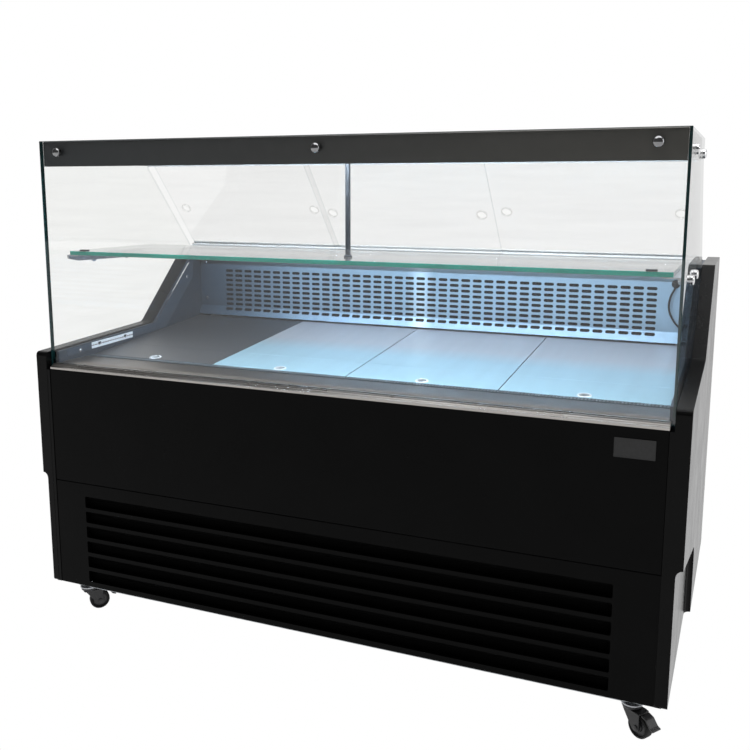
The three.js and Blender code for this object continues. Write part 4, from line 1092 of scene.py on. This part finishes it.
def castor(end, side):
    name = f"{end}_{side}"
    place = Matrix.Translation((-CASTOR_X if side == "left" else CASTOR_X, at(CASTOR_DEPTHS[end]), 0))
    stance = place @ Matrix.Rotation(CASTOR_TURNS[side], 4, "Z")
    top = CASTOR_HEIGHT - 0.0003
    bearing = turned("z", [(0.0, top - 0.014), (0.0150, top - 0.0145), (0.0190, top - 0.0125),
                           (0.0205, top - 0.0105), (0.0205, top - 0.0060), (0.0, top - 0.0060)], (0, 0), 36)
    race = turned("z", [(0.0, top - 0.0058), (0.0215, top - 0.0058), (0.0228, top - 0.0046),
                        (0.0228, top - 0.0020), (0.0205, top), (0.0, top)], (0, 0), 36, 1)
    crown_outline = rounded([(-0.0160, -0.0155), (TRAIL + 0.008, -0.0155), (TRAIL + 0.008, 0.0155),
                             (-0.0160, 0.0155)], 0.009, 6)
    crown = extruded("z", crown_outline, (CASTOR_HEIGHT - 0.017, CASTOR_HEIGHT - 0.0135), 0.0012)
    leg = rounded([(-0.012, CASTOR_HEIGHT - 0.0145), (TRAIL - 0.008, WHEEL_RADIUS - 0.008),
                   (TRAIL + 0.008, WHEEL_RADIUS - 0.008), (TRAIL + 0.007, CASTOR_HEIGHT - 0.0145)],
                  [0.002, 0.007, 0.007, 0.002], 6)
    parts = [bearing, race, crown]
    for flank in (-1, 1):
        y = flank * (WHEEL_HALF + 0.004)
        parts.append(extruded("y", leg, (y - 0.00125, y + 0.00125), 0.0005))
    reach = WHEEL_HALF + 0.007
    parts.append(turned("y", [(0.0, -reach - 0.0015), (0.0052, -reach), (0.0052, -reach + 0.0022),
                              (0.0040, -reach + 0.0022), (0.0040, reach - 0.0032), (0.0062, reach - 0.0032),
                              (0.0062, reach), (0.0, reach)],
                        (TRAIL, WHEEL_RADIUS), 12))
    build(f"castor_housing_{name}", [moved(p, stance) for p in parts], [dark_plastic, zinc],
          body=f"castor_{name}", instead_of=[f"castor_fork_{name}"])
    r, h = WHEEL_RADIUS, WHEEL_HALF
    half_tread = [(r - 0.0070, h - 0.0030), (r - 0.0050, h - 0.0004), (r - 0.0035, h),
                  (r - 0.0014, h - 0.0006), (r - 0.0003, h - 0.0026), (r, h - 0.0052)]
    tread = [*half_tread, *[(radius, -y) for radius, y in reversed(half_tread)]]
    half_hub = [(0.0044, h + 0.0010), (0.0088, h + 0.0010), (0.0098, h - 0.0004), (0.0108, h - 0.0032),
                (r - 0.0092, h - 0.0036), (r - 0.0068, h - 0.0022)]
    hub = [*half_hub, *[(radius, -y) for radius, y in reversed(half_hub)]]
    wheel = [turned("y", tread, (TRAIL, WHEEL_RADIUS), 44), turned("y", hub, (TRAIL, WHEEL_RADIUS), 44, 1)]
    build(f"castor_tyre_{name}", [moved(p, stance) for p in wheel], [rubber, dark_plastic],
          body=f"wheel_{name}", instead_of=[f"castor_wheel_{name}"])
    if end == "rear":
        return
    line = [(TRAIL + 0.010, 0.0540), (TRAIL + 0.022, 0.0500), (TRAIL + 0.033, 0.0370),
            (TRAIL + 0.041, 0.0340)]
    pedal = [extruded("y", bent(arced(line, 0.008), 0.003), (-0.012, 0.012), 0.0010)]
    for x in (TRAIL + 0.034, TRAIL + 0.0375):
        pedal.append(slab((x - 0.0006, x + 0.0006), (-0.009, 0.009), (0.0372, 0.0385), 0.0003))
    build(f"brake_tread_{name}", [moved(p, stance) for p in pedal], [pedal_plastic], body=f"brake_{name}",
          instead_of=[f"brake_pedal_{name}"])


for castor_end in ("front", "rear"):
    for castor_side in ("left", "right"):
        castor(castor_end, castor_side)


# ---------------------------------------------------------------- rear and machine compartment
for hidden_node, hidden_look, hidden_edge in (
        ("rear_upper_panel", rear_sheet, 0.0008),
        ("rear_service_panel", rear_sheet, 0.0008),
        ("base_frame", frame_zinc, 0.0015),
        ("insulated_tub", tub_shell, 0.0),
        ("compressor", black_sheet, 0.002),
        ("condenser_coil", copper, 0.0),
        ("condenser_fan_motor", frame_zinc, 0.0008),
        ("condenser_fan", aluminium, 0.0),
        ("evaporator_coil", aluminium, 0.0),
        ("evaporator_fan_plate", frame_zinc, 0.0005),
        ("evaporator_fan_left", dark_plastic, 0.0),
        ("evaporator_fan_right", dark_plastic, 0.0),
        ("drain_tray", dark_plastic, 0.001),
        ("controller", dark_plastic, 0.0008),
        ("controller_button_up", rubber, 0.0006),
        ("controller_button_down", rubber, 0.0006),
        ("power_switch", dark_plastic, 0.0008)):
    dress(hidden_node, hidden_look, hidden_edge)

REAR_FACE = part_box("rear_service_panel")[1].y
SCREW_MARGIN = 0.018
rear_screws = []
for rear_node in ("rear_service_panel", "rear_upper_panel"):
    rear_lo, rear_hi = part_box(rear_node)
    for column in (-1, -0.34, 0.34, 1):
        for level in (rear_lo.z + SCREW_MARGIN, rear_hi.z - SCREW_MARGIN):
            rear_screws.append(screw("y", (column * (rear_hi.x - 0.02), level), REAR_FACE, 0.0026, 0.0055))
build("rear_screws", rear_screws, [zinc])

CONTROL_LO, CONTROL_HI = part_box("controller")
screen_z = (CONTROL_LO.z + CONTROL_HI.z) / 2
screen_x = (CONTROL_LO.x + CONTROL_HI.x) / 2
build("controller_screen", [
    slab((screen_x - 0.0315, screen_x + 0.0095), (CONTROL_HI.y - 0.0016, CONTROL_HI.y - 0.0006),
         (screen_z - 0.0105, screen_z + 0.0105), 0.0003),
    slab((screen_x - 0.027, screen_x - 0.0245), (CONTROL_HI.y - 0.0008, CONTROL_HI.y - 0.0003),
         (screen_z + 0.005, screen_z + 0.0065), 0.0002, 1),
], [display_glass, power_glow])

# ---------------------------------------------------------------- floor and light
PALE = (0.86, 0.86, 0.86)
REACH = 14.0
floor_mesh = bpy.data.meshes.new("floor")
floor_mesh.from_pydata([(-REACH, -REACH, 0), (REACH, -REACH, 0), (REACH, REACH, 0), (-REACH, REACH, 0)], [],
                       [(0, 1, 2, 3)])
floor = bpy.data.objects.new("floor", floor_mesh)
bpy.context.scene.collection.objects.link(floor)
floor_look = Look("floor", roughness=0.9, specular=0.1)
floor_look.colour(floor_look.ramp(floor_look.noise((2, 2, 2)),
                                  [(0.3, tuple(0.98 * c for c in PALE)), (0.7, PALE)]))
# White paper to the eye and in reflections, pale grey to the light that it scatters back.
paper = floor_look.node("ShaderNodeEmission")
scattered = floor_look.node("ShaderNodeLightPath").outputs["Is Diffuse Ray"]
floor_look.mixed_shaders(scattered, paper.outputs[0], floor_look.shader.outputs[0])
floor_mesh.materials.append(floor_look.material)

# A white backdrop to the eye. What the case mirrors is dark in front of it and bright behind it.
world = bpy.data.worlds.new("studio")
world.use_nodes = True
bpy.context.scene.world = world
sky = Nodes(world.node_tree, "Generated")
rearwards = sky.math("MULTIPLY_ADD", sky.axis("Y"), 0.5, 0.5)
mirrored = sky.ramp(rearwards, [(0.38, (0.12,) * 3), (0.72, (0.92,) * 3)])
shown = sky.node("ShaderNodeMix", data_type="RGBA")
sky.link(sky.node("ShaderNodeLightPath").outputs["Is Camera Ray"], shown.inputs["Factor"])
sky.link(mirrored, shown.inputs["A"])
shown.inputs["B"].default_value = (1, 1, 1, 1)
sky.link(shown.outputs["Result"], sky.tree.nodes["Background"].inputs["Color"])


def area_light(name, place, aim, size, power, colour=(1, 1, 1)):
    light = bpy.data.lights.new(name, "AREA")
    light.shape = "RECTANGLE"
    light.size, light.size_y = size
    light.energy = power
    light.color = colour
    lamp_object = bpy.data.objects.new(name, light)
    lamp_object.location = place
    lamp_object.rotation_euler = (Vector(aim) - Vector(place)).to_track_quat("-Z", "Y").to_euler()
    bpy.context.scene.collection.objects.link(lamp_object)


area_light("softbox_top", (0.2, -0.6, 3.2), (0, 0, 0.5), (3.0, 2.4), 60)
area_light("softbox_right", (3.4, -0.6, 1.7), (0.4, 0, 0.6), (1.6, 2.2), 20)
area_light("case_lamp", (0.0, at(0.074), 1.170), (0.0, at(0.45), 0.70), (1.36, 0.02), 11, (0.66, 0.82, 1.0))
